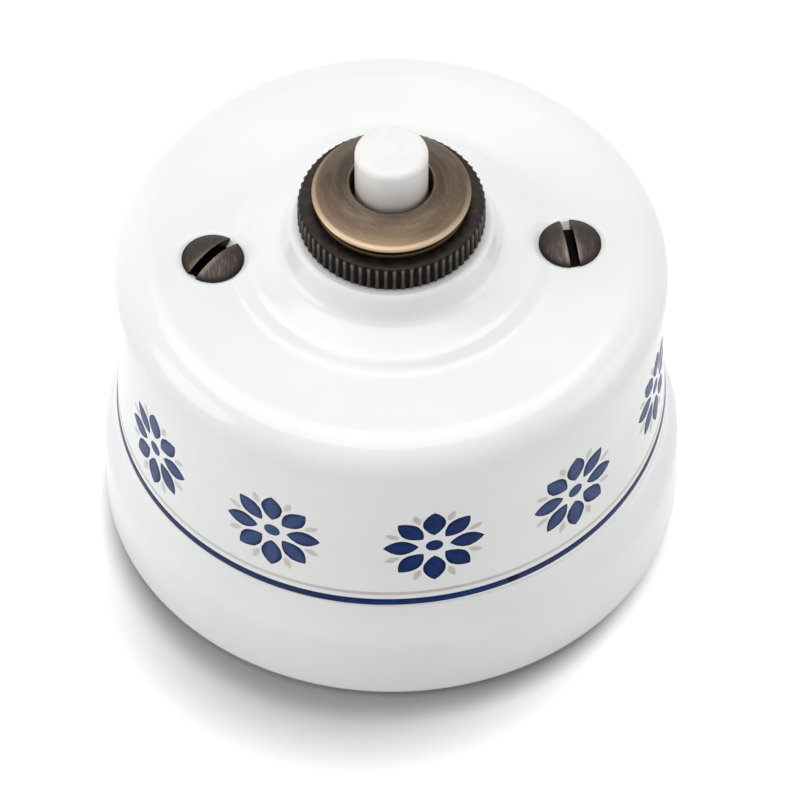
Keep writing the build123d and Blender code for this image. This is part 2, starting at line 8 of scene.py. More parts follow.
import bmesh
import bpy
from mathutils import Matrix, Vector


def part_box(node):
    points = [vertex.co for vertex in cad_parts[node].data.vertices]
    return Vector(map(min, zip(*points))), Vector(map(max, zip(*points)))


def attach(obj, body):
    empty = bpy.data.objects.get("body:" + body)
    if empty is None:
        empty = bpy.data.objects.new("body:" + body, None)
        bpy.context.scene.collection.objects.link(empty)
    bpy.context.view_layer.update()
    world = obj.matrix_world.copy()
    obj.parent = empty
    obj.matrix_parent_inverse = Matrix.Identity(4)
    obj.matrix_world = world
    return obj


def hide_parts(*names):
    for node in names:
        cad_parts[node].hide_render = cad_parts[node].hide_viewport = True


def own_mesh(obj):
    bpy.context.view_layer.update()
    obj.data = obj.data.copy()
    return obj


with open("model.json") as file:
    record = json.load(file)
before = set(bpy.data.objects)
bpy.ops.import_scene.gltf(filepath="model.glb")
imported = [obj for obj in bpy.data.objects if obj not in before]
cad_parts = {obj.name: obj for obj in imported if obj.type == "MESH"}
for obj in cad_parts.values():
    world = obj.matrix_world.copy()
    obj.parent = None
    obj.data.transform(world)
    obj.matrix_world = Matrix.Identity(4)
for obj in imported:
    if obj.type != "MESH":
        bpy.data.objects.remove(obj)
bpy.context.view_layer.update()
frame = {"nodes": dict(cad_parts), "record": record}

# Looks of a porcelain pushbutton switch, built round its fixed frame.
# Sizes are in millimetres and angles in degrees, and a mesh is made in metres.

log = logging.getLogger("pushbutton_switch")

MM = 0.001
ON_AXIS = 1e-6
SWITCH = "switch"
BUTTON = "button"

Point = tuple[float, float]
Colour = tuple[float, float, float]


class Solver(Enum):
    """Ways to cut one closed body with another."""

    QUICK = "MANIFOLD"
    CAREFUL = "EXACT"


class Side(Enum):
    """The side of the switch that a cover screw is on, with the turn of its slot."""

    LEFT = ("left", 44.5)
    RIGHT = ("right", 97.0)

    @property
    def node(self) -> str:
        """The name of the screw on this side."""
        return f"cover_screw_{self.value[0]}"

    @property
    def slot_turn(self) -> float:
        """How far the slot is turned from the X axis."""
        return self.value[1]


@dataclass(frozen=True)
class Extent:
    """The box of a node in millimetres, seen as a round thing on a vertical axis."""

    x: float
    y: float
    radius: float
    low: float
    high: float

    @staticmethod
    def of(node: str) -> "Extent":
        """Read the box of a node from the frame.

        Args:
            node: The name of the node.

        Returns:
            Its centre, its half width and its lowest and highest points.
        """
        lowest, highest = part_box(node)
        return Extent(
            x=(lowest[0] + highest[0]) / 2 / MM,
            y=(lowest[1] + highest[1]) / 2 / MM,
            radius=(highest[0] - lowest[0]) / 2 / MM,
            low=lowest[2] / MM,
            high=highest[2] / MM,
        )


class Outline:
    """A line of (radius, height) points that a turned piece is made from."""

    straight_pitch = 0.8
    arc_step = math.radians(11.0)
    finest_arc_step = arc_step / 6

    def __init__(self, start: Point) -> None:
        """Begin the line.

        Args:
            start: The first point.
        """
        self.points: list[Point] = [start]

    def straight(self, end: Vector) -> None:
        """Go straight to a point, in steps that keep the shading even.

        Args:
            end: The point to reach.
        """
        start = Vector(self.points[-1])
        steps = max(1, math.ceil((end - start).length / self.straight_pitch))
        for step in range(1, steps + 1):
            self.points.append(tuple(start.lerp(end, step / steps)))

    def swing(self, centre: Vector, end: Vector) -> None:
        """Go round a centre to a point, the short way.

        Args:
            centre: The middle of the arc.
            end: The point to reach.
        """
        start = Vector(self.points[-1]) - centre
        finish = end - centre
        turn = math.atan2(start.cross(finish), start.dot(finish))
        pitch = max(self.straight_pitch / start.length, self.finest_arc_step)
        steps = max(2, math.ceil(abs(turn) / min(self.arc_step, pitch)))
        for step in range(1, steps + 1):
            angle = turn * step / steps
            self.points.append((
                centre.x + start.x * math.cos(angle) - start.y * math.sin(angle),
                centre.y + start.x * math.sin(angle) + start.y * math.cos(angle),
            ))

    def run(self, *corners: Point, rounds: Sequence[float] = ()) -> "Outline":
        """Go from corner to corner, with some of the corners rounded.

        Args:
            corners: The corners in order, the last one being where the run ends.
            rounds: The radius at each corner in order, with zero for a sharp one.

        Returns:
            This line, so that calls can follow each other.
        """
        path = [Vector(self.points[-1]), *(Vector(corner) for corner in corners)]
        for index in range(1, len(path)):
            radius = rounds[index - 1] if index <= len(rounds) else 0.0
            if radius and index < len(path) - 1:
                self.rounded(path[index - 1], path[index], path[index + 1], radius)
            else:
                self.straight(path[index])
        return self

    def rounded(self, before: Vector, corner: Vector, after: Vector, radius: float) -> None:
        """Go to a corner and round it.

        Args:
            before: The point that the line comes from.
            corner: The corner itself.
            after: The point that the line goes on to.
            radius: The radius of the round.
        """
        back = (before - corner).normalized()
        ahead = (after - corner).normalized()
        half = back.angle(ahead) / 2
        reach = radius / math.tan(half)
        self.straight(corner + back * reach)
        centre = corner + (back + ahead).normalized() * (radius / math.sin(half))
        self.swing(centre, corner + ahead * reach)


@dataclass(frozen=True)
class WallArc:
    """The waisted line of the cover wall, as part of a large circle outside it."""

    reach: float
    height: float
    radius: float

    @staticmethod
    def through(low: Point, middle: Point, high: Point) -> "WallArc":
        """Find the circle through three points.

        Args:
            low: The foot of the wall.
            middle: A point on its waist.
            high: Its upper end.

        Returns:
            The circle of the wall.
        """
        (ax, ay), (bx, by), (cx, cy) = low, middle, high
        scale = 2 * (ax * (by - cy) + bx * (cy - ay) + cx * (ay - by))
        squares = (ax * ax + ay * ay, bx * bx + by * by, cx * cx + cy * cy)
        reach = (squares[0] * (by - cy) + squares[1] * (cy - ay) + squares[2] * (ay - by)) / scale
        height = (squares[0] * (cx - bx) + squares[1] * (ax - cx) + squares[2] * (bx - ax)) / scale
        return WallArc(reach, height, math.hypot(ax - reach, ay - height))

    def at(self, height: float) -> float:
        """The radius of the wall at a height."""
        return self.reach - math.sqrt(self.radius**2 - (height - self.height) ** 2)


class Workshop:
    """Makes, cuts, smooths and hands over the pieces."""

    cutter_segments = 96
    bevel_angle = math.radians(40.0)
    delivered: set[str] = set()

    @staticmethod
    def placed(name: str, data: bpy.types.ID) -> bpy.types.Object:
        """Put a mesh, a lamp or a camera in the scene as an object at the origin."""
        piece = bpy.data.objects.new(name, data)
        bpy.context.scene.collection.objects.link(piece)
        return piece

    @staticmethod
    def from_bmesh(name: str, body: bmesh.types.BMesh) -> bpy.types.Object:
        """Turn a finished bmesh into an object and free it."""
        bmesh.ops.recalc_face_normals(body, faces=body.faces)
        mesh = bpy.data.meshes.new(name)
        body.to_mesh(mesh)
        body.free()
        return Workshop.placed(name, mesh)

    @staticmethod
    def span(
        body: bmesh.types.BMesh, low: Sequence[bmesh.types.BMVert],
        high: Sequence[bmesh.types.BMVert],
    ) -> None:
        """Close the gap between two rings of corners, or between a ring and a point.

        Args:
            body: The mesh that the rings are in.
            low: The first ring, or a single corner.
            high: The second ring, or a single corner.
        """
        count = max(len(low), len(high))
        for index in range(count):
            ahead = (index + 1) % count
            corners = (
                low[index % len(low)], low[ahead % len(low)],
                high[ahead % len(high)], high[index % len(high)],
            )
            face = list(dict.fromkeys(corners))
            if len(face) > 2:
                body.faces.new(face)

    @staticmethod
    def turned(
        name: str, points: Sequence[Point], segments: int, centre: Point = (0.0, 0.0)
    ) -> bpy.types.Object:
        """Turn a line round a vertical axis into a closed body.

        Args:
            name: The name of the new object.
            points: A line from axis to axis, or a loop that keeps clear of the axis.
            segments: How many steps go round.
            centre: Where the axis stands.

        Returns:
            The new object.
        """
        body = bmesh.new()
        turns = [2 * math.pi * index / segments for index in range(segments)]
        rings = []
        for radius, height in points:
            spots = turns if radius > ON_AXIS else turns[:1]
            rings.append([
                body.verts.new((
                    (centre[0] + radius * math.cos(turn)) * MM,
                    (centre[1] + radius * math.sin(turn)) * MM,
                    height * MM,
                ))
                for turn in spots
            ])
        pairs = list(zip(rings, rings[1:]))
        if points[0][0] > ON_AXIS:
            pairs.append((rings[-1], rings[0]))
        for low, high in pairs:
            Workshop.span(body, low, high)
        return Workshop.from_bmesh(name, body)

    @staticmethod
    def drill(side: Sequence[Point], centre: Point) -> bpy.types.Object:
        """A round cutter.

        Args:
            side: The line of its side, from below upwards.
            centre: Where the cutter stands.

        Returns:
            The cutter as an object.
        """
        points = [(0.0, side[0][1]), *side, (0.0, side[-1][1])]
        return Workshop.turned("cutter", points, Workshop.cutter_segments, centre)

    @staticmethod
    def settle(piece: bpy.types.Object) -> None:
        """Turn the result of a piece's modifiers into its plain mesh."""
        depsgraph = bpy.context.evaluated_depsgraph_get()
        mesh = bpy.data.meshes.new_from_object(
            piece.evaluated_get(depsgraph), preserve_all_data_layers=True, depsgraph=depsgraph
        )
        former = piece.data
        mesh.name = former.name
        piece.modifiers.clear()
        piece.data = mesh
        bpy.data.meshes.remove(former)

    @staticmethod
    def cut(
        piece: bpy.types.Object, cutters: Sequence[bpy.types.Object], solver: Solver
    ) -> None:
        """Take separate cutters away from a piece.

        Args:
            piece: The piece to cut.
            cutters: Closed bodies that don't touch each other, which are used up.
            solver: The way of cutting.
        """
        joined = bmesh.new()
        for cutter in cutters:
            joined.from_mesh(cutter.data)
            bpy.data.meshes.remove(cutter.data)
        tool = Workshop.from_bmesh("cutters", joined)
        change = piece.modifiers.new("cut", "BOOLEAN")
        change.operation = "DIFFERENCE"
        change.object = tool
        change.solver = solver.value
        Workshop.settle(piece)
        bpy.data.meshes.remove(tool.data)

    @staticmethod
    def bevelled(piece: bpy.types.Object, width: float) -> None:
        """Round the sharp edges of a piece a little.

        Args:
            piece: The piece to change.
            width: The width of the round.
        """
        change = piece.modifiers.new("round", "BEVEL")
        change.width = width * MM
        change.segments = 2
        change.limit_method = "ANGLE"
        change.angle_limit = Workshop.bevel_angle
        Workshop.settle(piece)

    @staticmethod
    def smooth(piece: bpy.types.Object, angle: float = 35.0) -> None:
        """Shade a piece smooth, apart from its sharp edges.

        Args:
            piece: The piece to shade.
            angle: Edges that turn by more than this stay sharp.
        """
        piece.data.shade_smooth()
        piece.data.set_sharp_from_angle(angle=math.radians(angle))

    @staticmethod
    def paint(piece: bpy.types.Object, *materials: bpy.types.Material) -> None:
        """Give a piece its materials, in the order of their slots."""
        piece.data.materials.clear()
        for material in materials:
            piece.data.materials.append(material)

    @staticmethod
    def deliver(piece: bpy.types.Object, node: str, slot: str, body: str = SWITCH) -> None:
        """Hand a finished piece over to the frame.

        Args:
            piece: The piece.
            node: The node that it stands for.
            slot: Its material slot in the record; not used.
            body: The body that it rides on.
        """
        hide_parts(node)
        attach(piece, body)
        Workshop.delivered.add(node)
        log.info("%s: %d faces", piece.name, len(piece.data.polygons))


def summing(operation: str, turned: bool = False) -> Callable[..., "Wire"]:
    """Make a method that adds the Math node of an operation.

    Args:
        operation: The operation.
        turned: Whether the wire itself comes last.

    Returns:
        The method, which takes the other values of the operation.
    """
    def method(wire: "Wire", *others: "Term") -> "Wire":
        """Add the node for this wire and the other values."""
        return wire.graph.math(operation, *((*others, wire) if turned else (wire, *others)))

    return method


class Wire:
    """An output of a node that sums can be written with."""

    __add__ = __radd__ = summing("ADD")
    __sub__ = summing("SUBTRACT")
    __rsub__ = summing("SUBTRACT", turned=True)
    __mul__ = __rmul__ = summing("MULTIPLY")
    __truediv__ = summing("DIVIDE")
    __rtruediv__ = summing("DIVIDE", turned=True)
    __pow__ = summing("POWER")
    least = summing("MINIMUM")
    most = summing("MAXIMUM")
    size = summing("ABSOLUTE")
    cosine = summing("COSINE")
    sine = summing("SINE")
    root = summing("SQRT")

    def __init__(self, graph: "Graph", socket: bpy.types.NodeSocket) -> None:
        """Wrap a socket.

        Args:
            graph: The graph that the socket is in.
            socket: The output socket.
        """
        self.graph = graph
        self.socket = socket

    def rise(self, low: float, high: float) -> "Wire":
        """A smooth step from 0 at one value to 1 at another, which may be the lower one.

        Args:
            low: The value where the result is 0.
            high: The value where the result is 1.

        Returns:
            The smooth step.
        """
        return self.graph.add(
            "ShaderNodeMapRange", {"Value": self, "From Min": low, "From Max": high},
            interpolation_type="SMOOTHSTEP",
        )


Term = Union[Wire, float]


class Graph:
    """A node tree that nodes are added to."""

    def __init__(self, tree: bpy.types.NodeTree) -> None:
        """Start with an empty tree.

        Args:
            tree: The tree to fill.
        """
        self.tree = tree
        tree.nodes.clear()

    def add(
        self, kind: str, inputs: dict[str | int, Any] | None = None,
        output: str | int = 0, **settings: Any,
    ) -> Wire:
        """Add one node.

        Args:
            kind: The type of the node.
            inputs: The value or the wire for each of its sockets.
            output: The output to use.
            settings: Its own settings.

        Returns:
            That output.
        """
        node = self.tree.nodes.new(kind)
        for key, value in settings.items():
            setattr(node, key, value)
        for key, value in (inputs or {}).items():
            if isinstance(value, Wire):
                self.tree.links.new(value.socket, node.inputs[key])
            else:
                node.inputs[key].default_value = value
        if not node.outputs:
            return Wire(self, node.inputs[0])
        return Wire(self, node.outputs[output])

    def math(self, operation: str, *terms: Term) -> Wire:
        """Add a Math node for an operation on values."""
        return self.add("ShaderNodeMath", dict(enumerate(terms)), operation=operation)

    def vector(self, x: Term, y: Term, z: Term) -> Wire:
        """Put three values together as a vector."""
        return self.add("ShaderNodeCombineXYZ", {0: x, 1: y, 2: z})

    def parts(self, vector: Wire) -> tuple[Wire, Wire, Wire]:
        """Take a vector apart into its three values."""
        first = self.add("ShaderNodeSeparateXYZ", {0: vector})
        return tuple(Wire(self, socket) for socket in first.socket.node.outputs)


class Skin(Graph):
    """The nodes of one material, which read the place on the object in millimetres."""

    def __init__(self, name: str, centre: Point = (0.0, 0.0)) -> None:
        """Start a material.

        Args:
            name: The name of the material.
            centre: The axis that the radius is measured from.
        """
        self.material = bpy.data.materials.new(name)
        self.material.use_nodes = True
        super().__init__(self.material.node_tree)
        place = self.add("ShaderNodeTexCoord", output="Object")
        self.place = self.add(
            "ShaderNodeVectorMath", {0: place, "Scale": 1 / MM}, operation="SCALE"
        )
        x, y, self.height = self.parts(self.place)
        self.x = x - centre[0]
        self.y = y - centre[1]
        self.radius = (self.x * self.x + self.y * self.y).root()

    def noise(self, size: float, detail: float = 2.0, vector: Wire | None = None) -> Wire:
        """Soft random variation from 0 to 1.

        Args:
            size: About how wide its patches are.
            detail: How many finer layers it has.
            vector: Where it is read, which is the place if nothing is given.

        Returns:
            The value.
        """
        return self.add("ShaderNodeTexNoise", {
            "Vector": vector or self.place, "Scale": 1 / size, "Detail": detail,
        })

    def specks(self, pitch: float, radius: float, share: float) -> Wire:
        """Scattered small dots, as a mask from 0 to 1.

        Args:
            pitch: The distance between the places where a dot may be.
            radius: The radius of a dot.
            share: The share of those places that have one.

        Returns:
            The mask.
        """
        cells = self.add(
            "ShaderNodeTexVoronoi", {"Vector": self.place, "Scale": 1 / pitch}, "Distance"
        )
        chosen = Wire(self, cells.socket.node.outputs["Color"])
        red = self.add("ShaderNodeSeparateColor", {0: chosen})
        return cells.rise(radius / pitch, radius / pitch / 3) * red.rise(share, share * 0.9)

    def circling(self, across: float, along: float) -> Wire:
        """Places for streaks that run round the axis.

        Args:
            across: The width of a streak.
            along: How much a streak changes in one turn.

        Returns:
            The places, for a noise of size 1.
        """
        return self.vector(
            self.x / self.radius * along, self.y / self.radius * along,
            self.radius / across + self.height / across * 0.7,
        )

    def blend(self, share: Term, low: Any, high: Any) -> Wire:
        """Mix two colours.

        Args:
            share: The share of the second colour.
            low: The first colour.
            high: The second colour.

        Returns:
            The mixed colour.
        """
        colours = [
            value if isinstance(value, Wire) else (*value, 1.0) for value in (low, high)
        ]
        return self.add(
            "ShaderNodeMix", {"Factor": share, 6: colours[0], 7: colours[1]}, 2,
            data_type="RGBA",
        )

    def bump(self, height: Wire, depth: float) -> Wire:
        """A fine relief.

        Args:
            height: Its height from 0 to 1.
            depth: The real depth from 0 to 1.

        Returns:
            The normal.
        """
        return self.add("ShaderNodeBump", {"Distance": depth * MM, "Height": height})

    def close(self, **sockets: Any) -> bpy.types.Material:
        """Finish the material with its shader.

        Args:
            sockets: The values or wires of the shader, by socket name with _ for a space.

        Returns:
            The material.
        """
        inputs = {}
        for name, value in sockets.items():
            is_colour = isinstance(value, tuple) and len(value) == 3
            inputs[name.replace("_", " ")] = (*value, 1.0) if is_colour else value
        shader = self.add("ShaderNodeBsdfPrincipled", inputs)
        self.add("ShaderNodeOutputMaterial", {"Surface": shader})
        return self.material


class Recipe(Graph):
    """A Geometry Nodes tree with named inputs, made for one piece."""

    kinds = {
        int: "NodeSocketInt", float: "NodeSocketFloat",
        bpy.types.Object: "NodeSocketObject", bpy.types.Material: "NodeSocketMaterial",
    }

    def __init__(self, name: str, source: str, values: dict[str, Any]) -> None:
        """Start the tree with its inputs.

        Args:
            name: The name of the tree.
            source: The name of the geometry that it starts from.
            values: The value of each other input, by name.
        """
        super().__init__(bpy.data.node_groups.new(name, "GeometryNodeTree"))
        self.values = values
        face = self.tree.interface
        face.new_socket(source, in_out="INPUT", socket_type="NodeSocketGeometry")
        for title, value in values.items():
            kind = next(self.kinds[owner] for owner in self.kinds if isinstance(value, owner))
            face.new_socket(title, in_out="INPUT", socket_type=kind)
        face.new_socket("Geometry", in_out="OUTPUT", socket_type="NodeSocketGeometry")
        given = self.add("NodeGroupInput").socket.node
        self.take = {socket.name: Wire(self, socket) for socket in given.outputs if socket.name}

    def moved(self, geometry: Wire, x: Term, y: Term, z: Term) -> Wire:
        """Move every point of a geometry to the place that three values give."""
        return self.add("GeometryNodeSetPosition", {
            "Geometry": geometry, "Position": self.vector(x, y, z),
        })

    def finish(self, geometry: Wire, paint: Wire) -> None:
        """End the tree with its geometry made real and painted."""
        real = self.add("GeometryNodeRealizeInstances", {"Geometry": geometry})
        painted = self.add(
            "GeometryNodeSetMaterial", {"Geometry": real, "Material": paint}
        )
        self.add("NodeGroupOutput", {"Geometry": painted})

    def use(self, piece: bpy.types.Object) -> None:
        """Run the tree on a piece and keep what it makes as the piece's plain mesh."""
        change = piece.modifiers.new(self.tree.name, "NODES")
        change.node_group = self.tree
        for socket in self.tree.interface.items_tree:
            if socket.name in self.values:
                change[socket.identifier] = self.values[socket.name]
        Workshop.settle(piece)


@dataclass(frozen=True)
class PorcelainGlaze:
    """White porcelain under a clear glaze, with a faint wave and a few pinholes."""

    name: str = "white_glaze"
    white: Colour = (0.900, 0.902, 0.898)
    glaze_cloud_and_enamel_sheen: Colour = (0.865, 0.870, 0.872)
    fleck: Colour = (0.52, 0.47, 0.42)
    wave: float = 0.028

    def make(self) -> bpy.types.Material:
        """Build the material."""
        skin = Skin(self.name)
        cloud = skin.noise(14.0, 3.0).rise(0.35, 0.75)
        body = skin.blend(cloud, self.white, self.glaze_cloud_and_enamel_sheen)
        flecks = skin.specks(6.5, 0.16, 0.13)
        relief = skin.noise(7.0, 1.5) * 0.8 + skin.noise(1.1, 1.0) * 0.05 - flecks * 0.4
        return skin.close(
            Base_Color=skin.blend(flecks * 0.35, body, self.fleck),
            Roughness=0.10 + skin.noise(9.0) * 0.08 + flecks * 0.3,
            Normal=skin.bump(relief, self.wave),
            IOR=1.5,
        )


@dataclass(frozen=True)
class MattBody:
    """A dry, matt body with a fine grain: unglazed porcelain or moulded thermoset."""

    name: str
    tone: Colour
    other: Colour
    patch: float
    patch_from: float
    grain: float
    roughness: float
    depth: float

    def make(self) -> bpy.types.Material:
        """Build the material."""
        skin = Skin(self.name)
        grain = skin.noise(self.grain, 3.0)
        patches = skin.noise(self.patch, 3.0).rise(self.patch_from, 0.8)
        return skin.close(
            Base_Color=skin.blend(patches, self.tone, self.other),
            Roughness=self.roughness + grain * 0.2,
            Normal=skin.bump(grain, self.depth),
        )


@dataclass(frozen=True)
class Enamel:
    """Overglaze paint, a little uneven where it was laid on, with a painted sheen that shifts its
    colour towards a second tone the farther it lies to the left or right.
    """

    name: str
    full: Colour
    deep: Colour
    edge: Colour
    # The colour of the painted sheen towards the sides.
    glaze_cloud_and_enamel_sheen: Colour
    patch: float = 1.6
    sheen_from: float = 5.0
    sheen_to: float = 15.0
    overlap_turn: float | None = None
    overlap_half: float = 0.45
    overlap_soft: float = 0.40

    def make(self) -> bpy.types.Material:
        """Build the material."""
        skin = Skin(self.name)
        brushed = skin.noise(self.patch, 3.0)
        body = skin.blend(brushed.rise(0.34, 0.60), self.deep, self.full)
        # Painted sheen: the farther the paint lies to the left or right of the front, the more it
        # takes the sheen colour.
        side_sheen = skin.x.size().rise(self.sheen_from, self.sheen_to)
        body = skin.blend(side_sheen * (0.6 + brushed * 0.6), body, self.glaze_cloud_and_enamel_sheen)
        edge = skin.add(
            "ShaderNodeAttribute", output="Fac", attribute_name=PaintedBand.edge_layer
        )
        body = skin.blend(edge.rise(0.35, 1.0) * 0.8, body, self.edge)
        if self.overlap_turn is not None:
            turn = math.radians(self.overlap_turn)
            aside = skin.x * math.sin(turn) - skin.y * math.cos(turn)
            ahead = (skin.x * math.cos(turn) + skin.y * math.sin(turn)).rise(0.0, 1.0)
            over = aside.size().rise(self.overlap_half + self.overlap_soft, self.overlap_half)
            body = skin.blend(over * ahead, body, self.edge)
        return skin.close(
            Base_Color=body,
            Roughness=0.24 + brushed * 0.16,
            Normal=skin.bump(skin.noise(0.5, 2.0), 0.008),
            Specular_IOR_Level=0.06,
        )


@dataclass(frozen=True)
class DarkBronze:
    """Brass with a dark patina, paler where hands and tools have worn it."""

    name: str = "ring_bronze"
    dark: Colour = (0.026, 0.022, 0.019)
    ring_wear_and_screw_front_light: Colour = (0.180, 0.160, 0.142)
    warm: Colour = (0.056, 0.043, 0.034)
    groove: Colour = (0.008, 0.007, 0.006)
    crest_low: float = 10.22
    crest_high: float = 10.46
    root_low: float = 9.9
    root_high: float = 10.1
    top: float = 47.8

    def make(self) -> bpy.types.Material:
        """Build the material."""
        skin = Skin(self.name)
        mottle = skin.noise(0.9, 4.0)
        body = skin.blend(mottle.rise(0.42, 0.75) * 0.6, self.dark, self.warm)
        crest = skin.radius.rise(self.crest_low, self.crest_high)
        crest = crest * (0.4 + 0.6 * skin.height.rise(self.top - 1.8, self.top - 0.1))
        deep = skin.radius.rise(self.crest_high - 0.04, self.crest_low)
        deep = deep * skin.height.rise(self.top - 0.06, self.top - 0.30)
        deep = deep * skin.radius.rise(self.root_low, self.root_high)
        body = skin.blend(deep, body, self.groove)
        scratches = skin.noise(1.0, 2.0, skin.circling(0.10, 2.5))
        worn = (crest * (0.35 + mottle * 0.9)).least(1.0) + scratches.rise(0.6, 0.85) * 0.16
        return skin.close(
            Base_Color=skin.blend(worn.least(1.0), body, self.ring_wear_and_screw_front_light),
            Metallic=1.0,
            Roughness=0.34 + mottle * 0.22,
            Normal=skin.bump(mottle * 0.6 + scratches * 0.4, 0.010),
        )


@dataclass(frozen=True)
class ScrewBronze:
    """The dark bronze of a screw head, with a paler dome, a dark edge, a painted highlight that is
    strongest on its front side and painted shade inside the slot.
    """

    name: str
    centre: Point
    dark: Colour = (0.026, 0.022, 0.020)
    grey: Colour = (0.060, 0.049, 0.044)
    # The colour of the painted highlight.
    pale: Colour = (0.250, 0.210, 0.180)
    # The near black of the painted shade inside the slot.
    black: Colour = (0.004, 0.003, 0.003)
    slot_turn: float = 0.0
    slot_half: float = 0.53
    head_radius: float = 3.5
    domed_radius: float = 2.8
    lip_from: float = 1.25
    lip_to: float = 0.60
    lip_radius: float = 2.6
    # Where the painted highlight on the front side begins and where it is full.
    front_light_from: float = 0.8
    front_light_to: float = -2.6

    def make(self) -> bpy.types.Material:
        """Build the material."""
        skin = Skin(self.name, self.centre)
        turn = math.radians(self.slot_turn)
        aside = (skin.y * math.cos(turn) - skin.x * math.sin(turn)).size()
        lip = aside.rise(self.lip_from, self.lip_to)
        lip = lip * skin.radius.rise(self.head_radius, self.lip_radius)
        mottle = skin.noise(0.8, 4.0)
        streaks = skin.noise(1.0, 3.0, skin.vector(skin.x / 0.16, skin.y / 1.4, skin.height))
        domed = skin.radius.rise(self.head_radius, self.domed_radius)
        body = skin.blend(domed * (0.35 + mottle * 1.0), self.dark, self.grey)
        # Painted highlight: the lip beside the slot and the streaks on the dome are lightened,
        # most on the front side.
        ring_wear_and_screw_front_light = 0.35 + 0.75 * skin.y.rise(self.front_light_from, self.front_light_to)
        sheen = (lip * 0.42 + streaks.rise(0.50, 0.8) * 0.55 * domed) * ring_wear_and_screw_front_light
        # Painted shade: the inside of the slot is made near black.
        painted_slot_shade = aside.rise(self.slot_half + 0.05, self.slot_half)
        return skin.close(
            Base_Color=skin.blend(painted_slot_shade, skin.blend(sheen, body, self.pale), self.black),
            Metallic=1.0,
            Roughness=0.36 + mottle * 0.2,
            Normal=skin.bump(mottle * 0.7 + streaks * 0.3, 0.012),
        )


@dataclass(frozen=True)
class AgedBrass:
    """Brass brushed in circles, dark round the hole, with a painted highlight and golden halo on
    the rim that are strongest at the front, and a painted shadow on its underside.
    """

    name: str = "aged_brass"
    inner: Colour = (0.072, 0.055, 0.043)
    outer: Colour = (0.140, 0.102, 0.070)
    # The colours of the painted golden halo and of the painted rim highlight.
    golden: Colour = (0.300, 0.212, 0.130)
    rim: Colour = (0.560, 0.430, 0.295)
    shadow: Colour = (0.030, 0.022, 0.016)
    bead: Colour = (0.110, 0.075, 0.045)
    hole_radius: float = 4.66
    band_radius: float = 7.3
    rim_radius: float = 8.8
    under_height: float = 49.15
    bead_height: float = 48.35
    bead_from: float = 8.3
    bead_to: float = 8.6
    # The direction in which the painted rim highlight fades, away from the front.
    far_side: Point = (0.22, 0.55)

    def make(self) -> bpy.types.Material:
        """Build the material."""
        skin = Skin(self.name)
        fine = skin.noise(1.0, 3.0, skin.circling(0.06, 3.0))
        broad = skin.noise(1.0, 2.0, skin.circling(0.45, 1.6))
        stray = skin.noise(1.0, 3.0, skin.vector(
            (skin.x + skin.y) / 0.10, (skin.x - skin.y) / 1.6, skin.height
        ))
        tone = skin.radius.rise(self.hole_radius + 0.4, self.band_radius)
        tone = tone * 0.75 + (broad - 0.5) * 1.9 + (fine - 0.5) * 1.2 + (stray - 0.5) * 0.7
        body = skin.blend(tone.most(0.0).least(1.0), self.inner, self.outer)
        # Painted highlight: the golden halo and the bright rim band are strongest at the front and
        # fade towards the right and back.
        far = skin.x * self.far_side[0] + skin.y * self.far_side[1]
        front_highlight = (0.36 - far / skin.radius).most(0.04)
        golden_highlight = skin.radius.rise(self.band_radius - 0.2, self.rim_radius) * front_highlight
        body = skin.blend((golden_highlight * (0.25 + fine * 0.9)).least(1.0), body, self.golden)
        rim = skin.radius.rise(self.rim_radius - 0.55, self.rim_radius - 0.15)
        rim = rim * skin.height.rise(self.under_height, self.under_height + 0.12) * front_highlight
        lip = skin.radius.rise(self.hole_radius + 0.35, self.hole_radius + 0.05)
        # Painted rim highlight, together with a paler lip round the hole and wear from stray
        # scratches.
        worn = (rim + lip * 0.20 + stray.rise(0.58, 0.80) * 0.16).least(1.0)
        body = skin.blend(worn, body, self.rim)
        under = skin.height.rise(self.under_height + 0.1, self.under_height - 0.1)
        body = skin.blend(under, body, self.shadow)
        bead = skin.height.rise(self.bead_height + 0.08, self.bead_height - 0.1)
        bead = bead * skin.radius.rise(self.bead_from, self.bead_to)
        body = skin.blend(bead, body, self.bead)
        return skin.close(
            Base_Color=body,
            Metallic=1.0,
            Roughness=0.30 + fine * 0.16 + under * 0.2,
            Normal=skin.bump(fine * 0.55 + stray * 0.3 + broad * 0.15, 0.010),
        )


@dataclass(frozen=True)
class WhiteMoulding:
    """The glossy white of the button and its plunger, with painted shade that makes the button
    darker and warmer towards its foot.
    """

    name: str = "white_moulding"
    white: Colour = (0.880, 0.875, 0.870)
    warm: Colour = (0.835, 0.822, 0.810)
    # The colour of the painted shade low on the button.
    aged_brass_and_button_shade: Colour = (0.660, 0.600, 0.545)
    shade_from: float = 55.6
    shade_to: float = 51.0

    def make(self) -> bpy.types.Material:
        """Build the material."""
        skin = Skin(self.name)
        cloud = skin.noise(3.0, 2.0)
        drawn = skin.noise(1.0, 2.0, skin.vector(skin.x / 0.3, skin.y / 0.3, skin.height / 4.0))
        body = skin.blend(cloud.rise(0.35, 0.75), self.white, self.warm)
        # Painted shade: darker and warmer downwards, towards the rosette.
        low = skin.height.rise(self.shade_from, self.shade_to)
        return skin.close(
            Base_Color=skin.blend(low * 0.9, body, self.aged_brass_and_button_shade),
            Roughness=0.24 + drawn * 0.14,
            Normal=skin.bump(drawn * 0.5 + skin.noise(0.6, 1.0) * 0.5, 0.006),
            IOR=1.49,
        )


